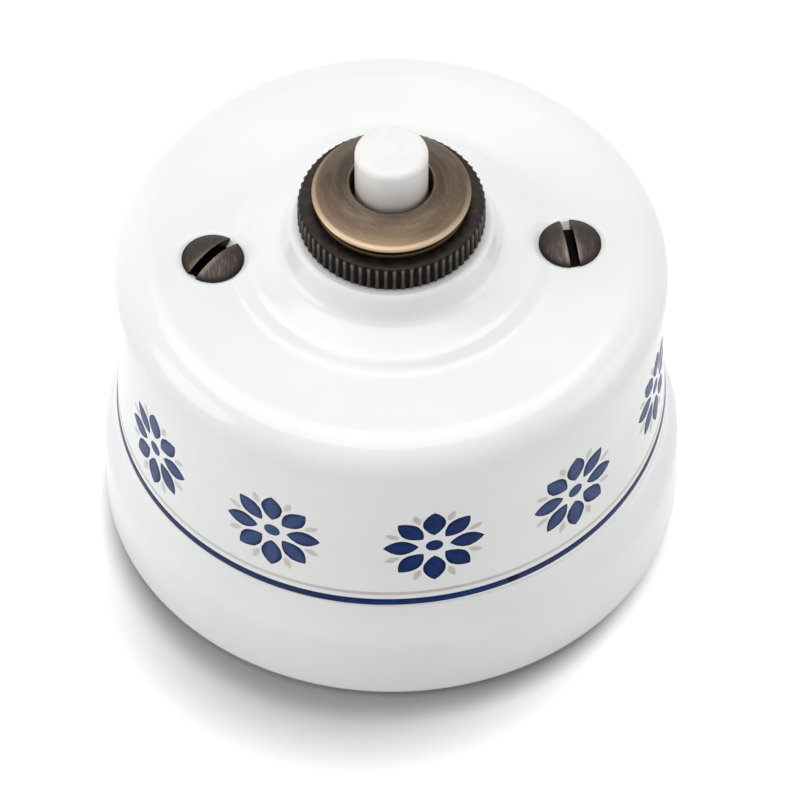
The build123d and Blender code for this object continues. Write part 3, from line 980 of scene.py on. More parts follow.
@dataclass(frozen=True)
class Metalwork:
    """A plain metal for the pieces inside, with fine marks from its making."""

    name: str
    tone: Colour
    dull: Colour
    roughness: float = 0.28
    mark: float = 0.18

    def make(self) -> bpy.types.Material:
        """Build the material."""
        skin = Skin(self.name)
        marks = skin.noise(1.0, 3.0, skin.vector(
            skin.x / self.mark, skin.y / self.mark, skin.height / self.mark / 8
        ))
        haze = skin.noise(1.8, 3.0)
        return skin.close(
            Base_Color=skin.blend(haze.rise(0.4, 0.8) * 0.7, self.tone, self.dull),
            Metallic=1.0,
            Roughness=self.roughness + haze * 0.15,
            Normal=skin.bump(marks, 0.006),
        )


@dataclass
class PorcelainBody:
    """The base and the cover, turned as closed shells with their holes cut."""

    glaze: bpy.types.Material
    biscuit: bpy.types.Material
    segments: int = 256
    shoulder_step: float = 1.4
    wall_height: float = 8.6
    shoulder_height: float = 4.8
    foot_round: float = 1.4
    edge_round: float = 0.3
    floor_top: float = 6.2
    recess_depth: float = 1.2
    foot_width: float = 4.1
    lip_wall: float = 1.8
    lip_gap: float = 0.3
    cover_wall: float = 3.6
    roof: float = 4.9
    waist_depth: float = 0.5
    waist_height: float = 10.7
    crown_height: float = 39.5
    crown_flare: float = 0.4
    crown_dish: float = 0.4
    shoulder_round: float = 4.1
    seat_flare: float = 1.6
    seat_slope: float = 1.0
    seat_gap: float = 0.06
    seat_cone: float = 0.9
    seat_blend: float = 0.42
    seat_zone: float = 2.0
    seat_cuts: int = 3
    seat_hole: float = 2.3
    drill_past: float = 1.0
    foot_straight: float = 1.0
    dish_radius: float = 18.0
    boss_rise: Point = (16.6, 0.75)
    boss_step: Point = (15.8, 40.0)
    boss_shoulder: Point = (12.4, 41.4)
    boss_radius: float = 11.4
    nut_hole: float = 7.25
    nut_seat: float = 40.4
    bush_hole: float = 9.9
    wall_hole: tuple[float, float, float] = (2.1, 4.6, 4.2)
    inner_hole: tuple[float, float, float] = (2.9, 2.8, 1.7)
    cable_hole: float = 4.5
    cable_turn: float = 58.0
    hole_reach: float = 20.0
    block_reach: float = 9.0
    bare_height: float = 0.12

    def __post_init__(self) -> None:
        """Read the main radii and heights from the frame."""
        base = Extent.of("porcelain_base")
        cover = Extent.of("porcelain_cover")
        self.base_radius = base.radius
        self.lip_top = base.high
        self.joint = cover.low
        self.boss_top = cover.high
        self.rim_radius = self.base_radius - self.shoulder_step
        self.hollow_radius = self.rim_radius - self.cover_wall
        self.ceiling = self.crown_height - self.roof
        self.dish = self.crown_height - self.crown_dish
        self.wall = WallArc.through(
            (self.rim_radius, self.joint),
            (self.rim_radius - self.waist_depth, self.joint + self.waist_height),
            (self.rim_radius + self.crown_flare, self.crown_height),
        )

    def base_line(self) -> list[Point]:
        """The section of the base, from the axis at its back to the axis at its floor."""
        lip_radius = self.hollow_radius - self.lip_gap
        inner = lip_radius - self.lip_wall
        recess_radius = self.base_radius - self.foot_width
        top = self.wall_height + self.shoulder_height
        step = self.shoulder_step
        bend = (step**2 + self.shoulder_height**2) / (4 * step)
        line = Outline((0.0, self.recess_depth)).run(
            (recess_radius, self.recess_depth), (recess_radius, 0.0), (self.base_radius, 0.0),
            (self.base_radius, self.wall_height),
            rounds=(0.5, self.edge_round, self.foot_round),
        )
        middle = Vector((self.base_radius - step / 2, self.wall_height + self.shoulder_height / 2))
        line.swing(Vector((self.base_radius - bend, self.wall_height)), middle)
        line.swing(Vector((self.rim_radius + bend, top)), Vector((self.rim_radius, top)))
        line.run(
            (self.rim_radius, self.joint), (lip_radius, self.joint), (lip_radius, self.lip_top),
            (inner, self.lip_top), (inner, self.floor_top), (0.0, self.floor_top),
            rounds=(self.edge_round, 0.2, 0.3, 0.3, 1.2),
        )
        return line.points

    def cover_line(self) -> list[Point]:
        """The section of the cover, as a loop that starts in its foot."""
        foot = (self.rim_radius + self.hollow_radius) / 2
        low_wall = self.joint + self.foot_straight
        line = Outline((foot, self.joint)).run(
            (self.rim_radius, self.joint), (self.wall.at(low_wall), low_wall),
            rounds=(self.edge_round,),
        )
        corner = Vector((self.rim_radius + self.crown_flare, self.crown_height))
        inward = (Vector((self.dish_radius, self.dish)) - corner).normalized()
        down = Vector((-inward.y, inward.x))
        big = Vector((self.wall.reach, self.wall.height))
        start = corner + down * self.shoulder_round - big
        reach = self.wall.radius + self.shoulder_round
        middle = -start.dot(inward)
        half = math.sqrt(middle**2 - start.length_squared + reach**2)
        along = min((middle - half, middle + half), key=abs)
        centre = corner + down * self.shoulder_round + inward * along
        wall_end = centre + (big - centre).normalized() * self.shoulder_round
        line.swing(big, wall_end)
        line.swing(centre, centre - down * self.shoulder_round)
        line.run(
            (self.dish_radius, self.dish), (self.boss_rise[0], self.dish + self.boss_rise[1]),
            self.boss_step, self.boss_shoulder, (self.boss_radius, self.boss_top),
            (self.nut_hole, self.boss_top), (self.nut_hole, self.nut_seat),
            (self.bush_hole, self.nut_seat), (self.bush_hole, self.ceiling),
            (self.hollow_radius, self.ceiling), (self.hollow_radius, self.joint),
            (foot, self.joint),
            rounds=(1.5, 0.8, 2.5, 1.8, 0.7, 0.25, 0.2, 0.3, 0.4, 2.0, self.edge_round),
        )
        return line.points[:-1]

    def sink_seats(self, cover: bpy.types.Object) -> None:
        """Let the crown flow softly down to the countersink of each cover screw.

        Args:
            cover: The turned cover.
        """
        screws = [Extent.of(side.node) for side in Side]
        seat_radius = screws[0].radius + self.seat_gap
        reach = seat_radius + 2 * self.seat_flare
        body = bmesh.new()
        body.from_mesh(cover.data)
        upper = self.dish - self.seat_zone

        def distance(place: Vector, screw: Extent) -> float:
            """How far a place is from the axis of a screw."""
            return math.hypot(place.x / MM - screw.x, place.y / MM - screw.y)

        near = [
            edge for edge in body.edges
            if all(vert.co.z / MM > upper for vert in edge.verts)
            and any(distance((edge.verts[0].co + edge.verts[1].co) / 2, screw) < reach
                    for screw in screws)
        ]
        bmesh.ops.subdivide_edges(body, edges=near, cuts=self.seat_cuts, use_grid_fill=True)
        for vert in body.verts:
            if vert.co.z / MM < upper:
                continue
            for screw in screws:
                gap = distance(vert.co, screw) - seat_radius
                if gap > reach - seat_radius:
                    continue
                sunk = self.dish + max(gap, 0.0) * self.seat_slope
                height = vert.co.z / MM
                share = max(0.0, self.seat_blend - abs(height - sunk)) / self.seat_blend
                vert.co.z = (min(height, sunk) - share**2 * self.seat_blend / 4) * MM
        body.to_mesh(cover.data)
        body.free()

    def make_base(self) -> None:
        """Turn the base, drill it and leave its foot unglazed."""
        base = Workshop.turned("glazed_base", self.base_line(), self.segments)
        below, top = -self.drill_past, self.floor_top + self.drill_past

        def drill(centre: Point, low: float, level: float, high: float) -> bpy.types.Object:
            """A cutter for a hole that changes its radius at a level."""
            return Workshop.drill([(low, below), (low, level), (high, level), (high, top)], centre)

        reach, turn = self.hole_reach, math.radians(self.cable_turn)
        drills = [drill((0.0, far), *self.wall_hole) for far in (-reach, reach)]
        for half in (0, math.pi):
            centre = (reach * math.cos(turn + half), reach * math.sin(turn + half))
            drills.append(Workshop.drill(
                [(self.cable_hole, below), (self.cable_hole, top)], centre
            ))
        for centre in (
            (-reach, 0.0), (reach, 0.0), (0.0, -self.block_reach), (0.0, self.block_reach)
        ):
            drills.append(drill(centre, *self.inner_hole))
        Workshop.cut(base, drills, Solver.QUICK)
        Workshop.smooth(base)
        Workshop.paint(base, self.glaze, self.biscuit)
        for face in base.data.polygons:
            if face.center.z / MM < self.bare_height:
                face.material_index = 1
        Workshop.deliver(base, "porcelain_base", "glazed_porcelain")

    def make_cover(self) -> None:
        """Turn the cover and countersink it for its screws."""
        cover = Workshop.turned("glazed_cover", self.cover_line(), self.segments)
        self.sink_seats(cover)
        drills = []
        for side in Side:
            screw = Extent.of(side.node)
            mouth = screw.radius + self.seat_gap
            seat = self.dish - self.seat_cone
            drills.append(Workshop.drill(
                [(self.seat_hole, self.ceiling - self.drill_past), (self.seat_hole, seat),
                 (mouth - self.seat_cone, seat), (mouth, self.dish),
                 (mouth, self.dish + 2 * self.drill_past)],
                (screw.x, screw.y),
            ))
        Workshop.cut(cover, drills, Solver.QUICK)
        Workshop.smooth(cover)
        Workshop.paint(cover, self.glaze)
        Workshop.deliver(cover, "porcelain_cover", "glazed_porcelain")

    def build(self) -> None:
        """Make both shells."""
        self.make_base()
        self.make_cover()


@dataclass
class PaintedBand:
    """The two painted lines and the flowers on the wall of the cover."""

    wall: WallArc
    blue: bpy.types.Material
    line_blue: bpy.types.Material
    beige: bpy.types.Material
    line_beige: bpy.types.Material
    segments: int = 256
    edge_layer: ClassVar[str] = "painted_edge"
    proud: float = 0.035
    sunk: float = 0.03
    tilt: float = 0.030
    line_tilt: float = 0.0187
    line_bend: float = 0.00036
    line_drop: float = 0.42
    line_trim: float = 0.09
    flower_height: float = 24.0
    flower_turns: tuple[float, ...] = (-153.0, -119.0, -84.2, -51.1, -17.7)
    petals: int = 8
    petal_size: tuple[float, float, float] = (1.75, 4.0, 2.62)
    leaf_size: tuple[float, float, float] = (4.2, 1.8, 1.0)
    eye_radius: float = 1.0
    slimness: float = 0.12
    soft: float = 0.07
    line_edge: float = 0.3
    flower_edge: float = 0.25
    smooth_angle: float = 60.0
    weld: float = 1e-7
    rows: int = 12
    columns: int = 4

    def band(
        self, name: str, node: str, material: bpy.types.Material, slot: str,
        drop: float = 0.0, trim: float = 0.0,
    ) -> None:
        """Make a painted line all round the cover, laid on a little aslant by hand.

        Args:
            name: The name of the new piece.
            node: The node that it stands for.
            material: Its paint.
            slot: Its material slot in the record.
            drop: How much lower it is painted than the level line.
            trim: How much is missing from each of its edges.
        """
        extent = Extent.of(node)
        low, high = extent.low - drop + trim, extent.high - drop - trim
        foot, head = self.wall.at(low), self.wall.at(high)
        edge = self.proud * self.line_edge
        points = [
            (foot - self.sunk, low), (foot + edge, low), (foot + self.proud, low + self.soft),
            (head + self.proud, high - self.soft), (head + edge, high), (head - self.sunk, high),
        ]
        piece = Workshop.turned(name, points, self.segments)
        for vert in piece.data.vertices:
            level = vert.co.z / MM
            turn = math.atan2(vert.co.y, vert.co.x)
            lift = vert.co.xy.length / MM - self.wall.at(level)
            across = vert.co.x / MM
            level += across * (self.line_tilt + across * self.line_bend)
            radius = self.wall.at(level) + lift
            vert.co = Vector((radius * math.cos(turn), radius * math.sin(turn), level)) * MM
        Workshop.smooth(piece, self.smooth_angle)
        Workshop.paint(piece, material)
        Workshop.deliver(piece, node, slot)

    def lens(self, start: float, length: float, width: float) -> bpy.types.Object:
        """A pointed petal or leaf that lies along X, thickest in its middle.

        Args:
            start: How far its first point is from the middle of the flower.
            length: Its length.
            width: Its greatest width.

        Returns:
            The petal as a closed mesh.
        """
        body = bmesh.new()
        edge_value = body.verts.layers.float.new(self.edge_layer)
        layers = []
        for top in (True, False):
            grid = []
            for row in range(self.rows + 1):
                share = row / self.rows
                half = width / 2 * math.sin(math.pi * share) ** 0.8
                line = []
                for column in range(self.columns + 1):
                    across = 2 * column / self.columns - 1
                    edge = abs(across) == 1 or row in (0, self.rows)
                    lift = self.proud * (self.flower_edge if edge else 1.0) if top else -self.sunk
                    vert = body.verts.new((
                        (start + length * share) * MM, across * half * MM, lift * MM
                    ))
                    vert[edge_value] = max(abs(across), abs(2 * share - 1) ** 3)
                    line.append(vert)
                grid.append(line)
            layers.append(grid)
            for row in range(self.rows):
                for column in range(self.columns):
                    body.faces.new((
                        grid[row][column], grid[row + 1][column],
                        grid[row + 1][column + 1], grid[row][column + 1],
                    ))
        upper, lower = layers
        for row in range(self.rows):
            for column in (0, self.columns):
                body.faces.new((
                    upper[row][column], upper[row + 1][column],
                    lower[row + 1][column], lower[row][column],
                ))
        bmesh.ops.remove_doubles(body, verts=body.verts, dist=self.weld)
        return Workshop.from_bmesh("petal", body)

    def eye(self, radius: float) -> bpy.types.Object:
        """The round dot in the middle of a flower."""
        points = [
            (0.0, -self.sunk), (radius, -self.sunk), (radius, self.proud * self.flower_edge),
            (radius * 0.86, self.proud), (radius * 0.45, self.proud), (0.0, self.proud),
        ]
        return Workshop.turned("eye", points, 20)

    def flowers(
        self, name: str, node: str, slot: str, shape: bpy.types.Object, count: int,
        first_turn: float, paint: bpy.types.Material,
    ) -> None:
        """Repeat one shape round each flower and lay it on the wall.

        Args:
            name: The name of the new piece.
            node: The node that it stands for.
            slot: Its material slot in the record.
            shape: The flat shape, which is used up.
            count: How many of it a flower has.
            first_turn: The turn of the first one.
            paint: Its paint.
        """
        recipe = Recipe(name, "Places", {
            "Shape": shape, "Count": count, "First Turn": math.radians(first_turn),
            "Flower Height": self.flower_height * MM, "Wall Reach": self.wall.reach * MM,
            "Wall Height": self.wall.height * MM, "Wall Radius": self.wall.radius * MM,
            "Tilt": self.tilt, "Slimness": self.slimness, "Paint": paint,
        })
        take = recipe.take
        flat = recipe.add("GeometryNodeObjectInfo", {"Object": take["Shape"]}, "Geometry")
        ring = recipe.add(
            "GeometryNodeMeshLine", {"Count": take["Count"], "Offset": (0.0, 0.0, 0.0)}
        )
        step = 2 * math.pi / take["Count"]
        turn = recipe.add("GeometryNodeInputIndex") * step + take["First Turn"]
        slim = 1.0 - take["Slimness"] * turn.cosine().size()
        flower = recipe.add("GeometryNodeInstanceOnPoints", {
            "Points": ring, "Instance": flat, "Rotation": recipe.vector(0.0, 0.0, turn),
            "Scale": recipe.vector(1.0, slim, 1.0),
        })
        flower = recipe.add("GeometryNodeRealizeInstances", {"Geometry": flower})
        strip = recipe.add("GeometryNodeInstanceOnPoints", {
            "Points": take["Places"], "Instance": flower,
        })
        strip = recipe.add("GeometryNodeRealizeInstances", {"Geometry": strip})
        across, up, lift = recipe.parts(recipe.add("GeometryNodeInputPosition"))
        girth = take["Wall Reach"] - take["Wall Radius"]
        angle = across / girth
        height = up + take["Flower Height"] + angle.cosine() * girth * take["Tilt"]
        drop = height - take["Wall Height"]
        bow = (take["Wall Radius"] * take["Wall Radius"] - drop * drop).root()
        radius = take["Wall Reach"] - bow + lift
        laid = recipe.moved(strip, angle.cosine() * radius, angle.sine() * radius, height)
        recipe.finish(laid, take["Paint"])
        unrolled = (self.wall.reach - self.wall.radius) * MM
        places = bpy.data.meshes.new(name)
        turns = [turn + half for half in (0, 180) for turn in self.flower_turns]
        places.from_pydata([(math.radians(turn) * unrolled, 0.0, 0.0) for turn in turns], [], [])
        piece = Workshop.placed(name, places)
        recipe.use(piece)
        bpy.data.meshes.remove(shape.data)
        Workshop.smooth(piece, self.smooth_angle)
        Workshop.deliver(piece, node, slot)

    def build(self) -> None:
        """Paint the lines, the petals, the leaves and the eyes."""
        blue, beige = "blue_enamel", "beige_enamel"
        self.band("blue_line", "painted_blue_line", self.line_blue, blue, trim=self.line_trim)
        self.band(
            "beige_line", "painted_beige_line", self.line_beige, beige, drop=self.line_drop
        )
        for name, node, slot, shape, count, first_turn, paint in (
            ("petals", "painted_petals", blue, self.lens(*self.petal_size), self.petals, 0.0,
             self.blue),
            ("leaves", "painted_leaves", beige, self.lens(*self.leaf_size), self.petals,
             180 / self.petals, self.beige),
            ("flower_eyes", "painted_flower_eyes", blue, self.eye(self.eye_radius), 1, 0.0,
             self.blue),
        ):
            self.flowers(name, node, slot, shape, count, first_turn, paint)


@dataclass
class ButtonHead:
    """The knurled ring nut, the rosette and the button."""

    bronze: bpy.types.Material
    brass: bpy.types.Material
    white: bpy.types.Material
    teeth: int = 67
    steps_per_tooth: int = 12
    tooth_depth: float = 0.36
    ring_bevel: float = 0.35
    groove_power: float = 0.75
    ring_radius: float = 10.5
    thread_radius: float = 7.05
    spigot_inset: float = 1.0
    spigot_gap: float = 0.03
    spigot_depth: float = 1.2
    rosette_edge: float = 1.62
    rosette_hole: float = 4.66
    stem_radius: float = 2.0
    flange: Point = (42.2, 43.7)
    knob_radius: float = 4.1
    segments: int = 256

    def knurl(self, ring: bpy.types.Object) -> None:
        """Press a knurl into the rim of the turned ring.

        Args:
            ring: The ring.
        """
        recipe = Recipe("knurl", "Ring", {
            "Teeth": self.teeth, "Crest Radius": self.ring_radius * MM,
            "Tooth Depth": self.tooth_depth * MM, "Metal": self.bronze,
        })
        take = recipe.take
        x, y, z = recipe.parts(recipe.add("GeometryNodeInputPosition"))
        angle = recipe.math("ARCTAN2", y, x)
        radius = (x * x + y * y).root()
        groove = (0.5 - (angle * take["Teeth"]).cosine() * 0.5) ** self.groove_power
        share = radius.least(take["Crest Radius"] - groove * take["Tooth Depth"]) / radius
        recipe.finish(recipe.moved(take["Ring"], x * share, y * share, z), take["Metal"])
        recipe.use(ring)

    @property
    def spigot_radius(self) -> float:
        """The radius of the rosette's spigot."""
        return Extent.of("brass_rosette").radius - self.spigot_inset

    def make_ring(self) -> None:
        """Turn the ring nut and knurl its rim."""
        extent = Extent.of("knurled_ring_nut")
        radius = self.ring_radius
        spigot = self.spigot_radius + self.spigot_gap
        middle = (self.thread_radius + radius) / 2
        line = Outline((middle, extent.low)).run(
            (radius - self.ring_bevel, extent.low), (radius, extent.low + self.ring_bevel),
            (radius, extent.high - self.ring_bevel), (radius - self.ring_bevel, extent.high),
            (spigot, extent.high), (spigot, extent.high - self.spigot_depth),
            (self.thread_radius, extent.high - self.spigot_depth),
            (self.thread_radius, extent.low), (middle, extent.low),
            rounds=(0.12, 0.12, 0.12, 0.12, 0.1, 0.05, 0.05, 0.1),
        )
        ring = Workshop.turned(
            "knurled_ring", line.points[:-1], self.teeth * self.steps_per_tooth
        )
        self.knurl(ring)
        Workshop.smooth(ring, 50.0)
        Workshop.deliver(ring, "knurled_ring_nut", "dark_bronze")

    def make_rosette(self) -> None:
        """Turn the domed rosette with its bead, neck and spigot."""
        extent = Extent.of("brass_rosette")
        radius, hole = extent.radius, self.rosette_hole
        middle = (6.4, extent.low)
        seat = extent.low + self.spigot_depth
        rim = seat + self.rosette_edge
        line = Outline(middle).run(
            (self.spigot_radius, extent.low), (self.spigot_radius, seat),
            (radius - 0.3, seat), (radius - 0.3, seat + 0.5), (radius - 0.7, seat + 0.5),
            (radius - 0.7, seat + 0.8), (radius, seat + 1.2), (radius, rim),
            (radius - 2.2, extent.high - 0.6), (hole, extent.high), (hole, extent.low),
            middle,
            rounds=(0.1, 0.05, 0.15, 0.2, 0.05, 0.05, 0.15, 0.25, 3.0, 0.2, 0.1),
        )
        rosette = Workshop.turned("rosette", line.points[:-1], self.segments)
        Workshop.smooth(rosette)
        Workshop.paint(rosette, self.brass)
        Workshop.deliver(rosette, "brass_rosette", "aged_brass")

    def make_button(self) -> None:
        """Turn the button with its flange and stem, which rides on its own body."""
        extent = Extent.of("push_button")
        flange_low, flange_high = self.flange
        line = Outline((0.0, extent.low)).run(
            (self.stem_radius, extent.low), (self.stem_radius, flange_low),
            (extent.radius, flange_low), (extent.radius, flange_high),
            (self.knob_radius, flange_high), (self.knob_radius, extent.high),
            (0.0, extent.high),
            rounds=(0.3, 0.2, 0.2, 0.2, 0.2, 0.7),
        )
        button = Workshop.turned("button_knob", line.points, self.segments // 2)
        Workshop.smooth(button)
        Workshop.paint(button, self.white)
        Workshop.deliver(button, "push_button", "white_button", BUTTON)

    def build(self) -> None:
        """Make the three pieces of the head."""
        self.make_ring()
        self.make_rosette()
        self.make_button()


@dataclass
class CoverScrews:
    """The two slotted screws that hold the cover down."""

    dome: float = 0.95
    rim: float = 0.12
    cone: float = 0.9
    shank_radius: float = 2.0
    slot_width: float = 1.05
    slot_depth: float = 1.8
    bevel: float = 0.07
    segments: int = 96

    def line(self, extent: Extent) -> list[Point]:
        """The section of a screw, from the axis at its tip to the axis at its top.

        Args:
            extent: The box of the screw's node.

        Returns:
            The points of the section.
        """
        radius = extent.radius
        rim = extent.high - self.dome
        seat = rim - self.rim - self.cone
        line = Outline((0.0, extent.low)).run(
            (self.shank_radius, extent.low), (self.shank_radius, seat),
            (radius - self.cone, seat), (radius, rim - self.rim), (radius, rim),
            rounds=(0.4, 0.1, 0.1, 0.02),
        )
        ball = (radius**2 + self.dome**2) / (2 * self.dome)
        line.swing(Vector((0.0, extent.high - ball)), Vector((0.0, extent.high)))
        line.points[-1] = (0.0, extent.high)
        return line.points

    def slot_cutter(self, extent: Extent, turn: float) -> bpy.types.Object:
        """The straight bar that cuts the slot.

        Args:
            extent: The box of the screw's node.
            turn: The angle of the slot.

        Returns:
            The cutter.
        """
        along = Vector((math.cos(math.radians(turn)), math.sin(math.radians(turn)), 0.0))
        across = Vector((-along.y, along.x, 0.0))
        centre = Vector((extent.x, extent.y, 0.0))
        low, high = extent.high - self.slot_depth, extent.high + 1.0
        body = bmesh.new()
        corners = [
            body.verts.new((
                centre + along * (2 * extent.radius * end) + across * (self.slot_width / 2 * side)
                + Vector((0.0, 0.0, level))
            ) * MM)
            for level in (low, high) for end, side in ((-1, -1), (1, -1), (1, 1), (-1, 1))
        ]
        faces = (
            (0, 1, 2, 3), (4, 5, 6, 7), (0, 1, 5, 4), (1, 2, 6, 5), (2, 3, 7, 6), (3, 0, 4, 7)
        )
        for face in faces:
            body.faces.new([corners[index] for index in face])
        return Workshop.from_bmesh("slot_cutter", body)

    def build(self) -> None:
        """Make both screws with their slots as they were left."""
        for side in Side:
            extent = Extent.of(side.node)
            screw = Workshop.turned(
                f"{side.value[0]}_screw", self.line(extent), self.segments,
                (extent.x, extent.y),
            )
            Workshop.cut(screw, [self.slot_cutter(extent, side.slot_turn)], Solver.CAREFUL)
            Workshop.bevelled(screw, self.bevel)
            Workshop.smooth(screw)
            finish = ScrewBronze(
                f"screw_bronze_{side.value[0]}", (extent.x, extent.y), slot_turn=side.slot_turn
            )
            Workshop.paint(screw, finish.make())
            Workshop.deliver(screw, side.node, "dark_bronze")


@dataclass
class ReturnSpring:
    """The coil under the bridge contact, made at its rest length."""

    steel: bpy.types.Material
    node: ClassVar[str] = "return_spring"
    joint: ClassVar[str] = "button_press"
    travel: float = 3.0
    turns: int = 5
    steps: int = 24
    sides: int = 10
    wire: float = 0.35

    def build(self) -> None:
        """Wind the coil and hand it to the frame."""
        extent = Extent.of(self.node)
        coil = extent.radius - self.wire
        low, high = extent.low + self.wire, extent.high - self.wire
        body = bmesh.new()
        rings = []
        count = self.turns * self.steps
        for index in range(count + 1):
            turn = 2 * math.pi * index / self.steps
            level = low + (high - low) * index / count
            ring = []
            for side in range(self.sides):
                around = 2 * math.pi * side / self.sides
                reach = coil + self.wire * math.cos(around)
                ring.append(body.verts.new(Vector((
                    reach * math.cos(turn), reach * math.sin(turn),
                    level + self.wire * math.sin(around),
                )) * MM))
            rings.append(ring)
        for here, there in zip(rings, rings[1:]):
            Workshop.span(body, here, there)
        body.faces.new(rings[0])
        body.faces.new(rings[-1])
        piece = Workshop.from_bmesh("return_coil", body)
        Workshop.smooth(piece, 50.0)
        Workshop.paint(piece, self.steel)
        Workshop.deliver(piece, self.node, "zinc_steel")
        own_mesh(piece)


@dataclass
class Mechanism:
    """The pieces inside, which keep their own shapes and get their finishes."""

    finishes: dict[str, bpy.types.Material]

    def build(self) -> None:
        """Dress every node that no piece stands for."""
        for part in frame["record"]["subparts"]:
            node, slot = part["node"], part["material_slot"]
            if node in Workshop.delivered:
                continue
            for holder in frame["nodes"][node].material_slots:
                holder.material = self.finishes[slot]
            log.info("%s: %s", node, slot)


@dataclass(frozen=True)
class Lamp:
    """A round soft lamp that faces the switch."""

    name: str
    power: float
    size: float
    distance: float
    turn: float
    elevation: float


@dataclass
class Studio:
    """A pale floor with a painted shadow round the switch, soft light from above and the camera of
    the photograph.
    """

    lamps: tuple[Lamp, ...] = (
        Lamp("overhead_lamp", 4.0, 900.0, 920.0, 105.0, 78.0),
        Lamp("left_lamp", 1.8, 600.0, 900.0, -175.0, 26.0),
        Lamp("right_lamp", 1.2, 600.0, 900.0, -5.0, 26.0),
    )
    lens: float = 595.6
    distance: float = 1500.0
    sensor: float = 36.0
    sight: float = 10.0
    elevation: float = 49.877
    turn: float = -3.2
    target: tuple[float, float, float] = (0.9475, -0.053, 13.30)
    floor_half: float = 3.0
    # The floor looks darker to the camera than to the light, and its glow leaves a painted shadow
    # round the foot and in front of it.
    floor_colour: Colour = (0.85, 0.85, 0.85)
    floor_shown: Colour = (0.36, 0.36, 0.36)
    floor_glow: float = 0.78
    glow_centre: Point = (-5.0, -15.0)
    glow_from: float = 16.8
    glow_to: float = 30.0
    painted_shadow_centre: Point = (-1.0, -3.5)
    painted_shadow_from: float = 29.3
    painted_shadow_to: float = 33.4
    sky: float = 0.49

    @staticmethod
    def seen(graph: Graph) -> Wire:
        """1 for rays from the camera, reflections and clear things, and 0 for light."""
        path = graph.add("ShaderNodeLightPath").socket.node.outputs
        rays = [Wire(graph, path[name]) for name in (
            "Is Camera Ray", "Is Glossy Ray", "Is Transmission Ray"
        )]
        return rays[0].most(rays[1]).most(rays[2])

    def make_floor(self) -> None:
        """Lay a wide pale floor with a painted shadow: it glows white except round the foot and in
        front of it, and looks darker to the camera than to the light.
        """
        half = self.floor_half
        mesh = bpy.data.meshes.new("floor")
        mesh.from_pydata(
            [(-half, -half, 0.0), (half, -half, 0.0), (half, half, 0.0), (-half, half, 0.0)],
            [], [(0, 1, 2, 3)],
        )
        floor = Workshop.placed("floor", mesh)
        skin = Skin("pale_floor", self.glow_centre)
        seen = self.seen(skin)
        matt = skin.add("ShaderNodeBsdfDiffuse", {
            "Color": skin.blend(seen, self.floor_colour, self.floor_shown),
        })
        # Painted shadow: the glow is held back near the foot and in front of it, so a dark shadow
        # shape stays there.
        away = (skin.radius - self.glow_from) / (self.glow_to - self.glow_from)
        aside = skin.x + (self.glow_centre[0] - self.painted_shadow_centre[0])
        ahead = skin.y + (self.glow_centre[1] - self.painted_shadow_centre[1])
        foot = (aside * aside + ahead * ahead).root().rise(self.painted_shadow_from, self.painted_shadow_to)
        glow = skin.add("ShaderNodeEmission", {
            "Color": skin.blend(
                seen * foot * away.most(0.0).least(1.0), (0.0,) * 3, (self.floor_glow,) * 3
            ),
        })
        both = skin.add("ShaderNodeAddShader", {0: matt, 1: glow})
        skin.add("ShaderNodeOutputMaterial", {"Surface": both})
        mesh.materials.append(skin.material)

    @staticmethod
    def aimed(
        name: str, data: bpy.types.ID, away: Vector, distance: float,
        target: Sequence[float] = (0.0, 0.0, 0.0),
    ) -> bpy.types.Object:
        """Put a lamp or a camera in its place, turned to its target.

        Args:
            name: The name of the object.
            data: The lamp or the camera.
            away: The direction from the target to it.
            distance: How far off it is.
            target: What it looks at.

        Returns:
            The object.
        """
        holder = Workshop.placed(name, data)
        holder.location = (Vector(target) + away * distance) * MM
        holder.rotation_euler = away.to_track_quat("Z", "Y").to_euler()
        return holder

    def make_lamps(self) -> None:
        """Hang each lamp in its place, turned to the switch."""
        for lamp in self.lamps:
            turn, rise = math.radians(lamp.turn), math.radians(lamp.elevation)
            away = Vector((
                math.cos(turn) * math.cos(rise), math.sin(turn) * math.cos(rise), math.sin(rise)
            ))
            light = bpy.data.lights.new(lamp.name, "AREA")
            light.shape = "DISK"
            light.size = lamp.size * MM
            light.energy = lamp.power
            self.aimed(lamp.name, light, away, lamp.distance)

    def make_sky(self) -> None:
        """Set an even sky that looks white behind the switch."""
        world = bpy.data.worlds.new("studio_sky")
        bpy.context.scene.world = world
        world.use_nodes = True
        graph = Graph(world.node_tree)
        sky, white = (
            graph.add("ShaderNodeBackground", {
                "Color": (1.0, 1.0, 1.0, 1.0), "Strength": strength,
            })
            for strength in (self.sky, 1.0)
        )
        both = graph.add("ShaderNodeMixShader", {0: self.seen(graph), 1: sky, 2: white})
        graph.add("ShaderNodeOutputWorld", {"Surface": both})

    def make_camera(self) -> None:
        """Stand the camera where the photograph was taken from."""
        turn, rise = math.radians(self.turn), math.radians(self.elevation)
        back = Vector((
            math.sin(turn) * math.cos(rise), -math.cos(turn) * math.cos(rise), math.sin(rise)
        ))
        camera = bpy.data.cameras.new("camera")
        camera.lens = self.lens
        camera.sensor_width = self.sensor
        camera.clip_end = self.sight
        bpy.context.scene.camera = self.aimed(
            "camera", camera, back, self.distance, self.target
        )

    def build(self) -> None:
        """Set up the whole studio."""
        bpy.context.scene.view_settings.view_transform = "Standard"
        self.make_camera()
        self.make_floor()
        self.make_sky()
        self.make_lamps()


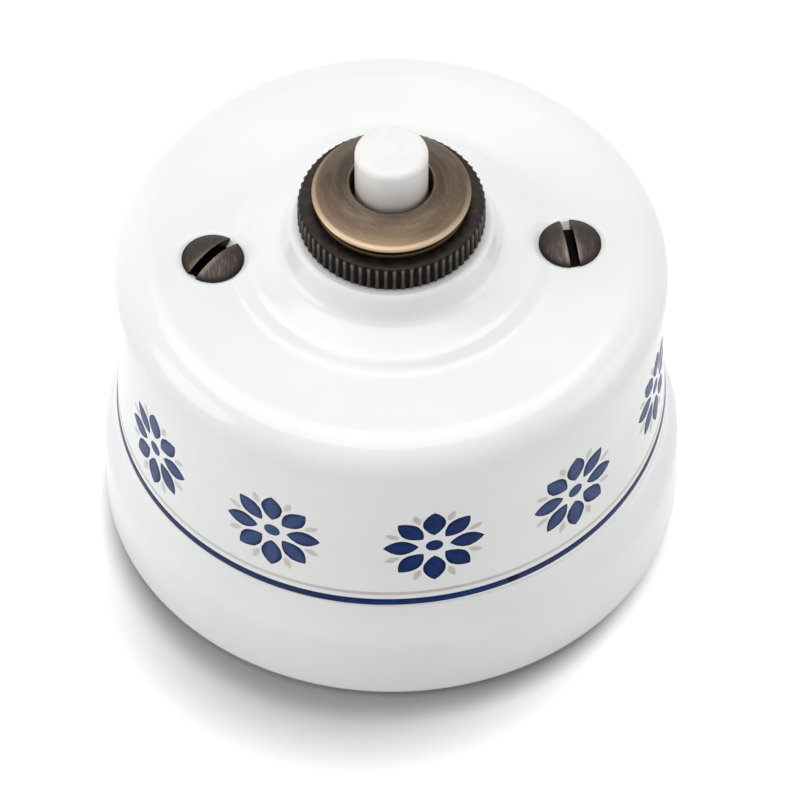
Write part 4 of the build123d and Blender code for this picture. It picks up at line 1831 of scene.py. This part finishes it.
def main() -> None:
    """Build the studio and every piece, and dress what the frame already holds."""
    logging.basicConfig(level=logging.INFO, format="%(name)s: %(message)s")
    Studio().build()
    glaze = PorcelainGlaze().make()
    white = WhiteMoulding().make()
    # The sheen colour given with each enamel is the colour of its painted sheen towards the sides.
    navy = {"full": (0.006, 0.030, 0.150), "deep": (0.004, 0.021, 0.105),
            "edge": (0.002, 0.007, 0.034)}
    blue = Enamel("blue_enamel", **navy, glaze_cloud_and_enamel_sheen=(0.058, 0.090, 0.220)).make()
    line_blue = Enamel(
        "blue_line_enamel", **navy, glaze_cloud_and_enamel_sheen=(0.024, 0.040, 0.105), overlap_turn=-67.2
    ).make()
    sand = {"full": (0.630, 0.600, 0.550), "deep": (0.580, 0.545, 0.495),
            "edge": (0.770, 0.760, 0.740), "glaze_cloud_and_enamel_sheen": (0.680, 0.660, 0.620)}
    beige = Enamel("beige_enamel", **sand).make()
    line_beige = Enamel("beige_line_enamel", **sand).make()
    bronze = DarkBronze().make()
    aged_brass_and_button_shade = AgedBrass().make()
    biscuit = MattBody(
        "bare_foot", (0.74, 0.72, 0.68), (0.60, 0.57, 0.52),
        patch=3.0, patch_from=0.4, grain=0.25, roughness=0.75, depth=0.02,
    ).make()
    body = PorcelainBody(glaze, biscuit)
    body.build()
    PaintedBand(body.wall, blue, line_blue, beige, line_beige).build()
    ButtonHead(bronze, aged_brass_and_button_shade, white).build()
    CoverScrews().build()
    zinc = Metalwork("zinc_steel", (0.55, 0.57, 0.60), (0.42, 0.43, 0.44)).make()
    ReturnSpring(zinc).build()
    Mechanism({
        "white_button": white,
        "plain_brass": Metalwork("plain_brass", (0.72, 0.52, 0.26), (0.50, 0.35, 0.17)).make(),
        "silver_contact": Metalwork(
            "silver_contact", (0.80, 0.79, 0.77), (0.62, 0.60, 0.57), roughness=0.2
        ).make(),
        "zinc_steel": zinc,
        "black_moulding": MattBody(
            "black_moulding", (0.018, 0.018, 0.019), (0.040, 0.039, 0.038),
            patch=4.0, patch_from=0.45, grain=0.3, roughness=0.42, depth=0.012,
        ).make(),
    }).build()


if __name__ == "__main__":
    main()
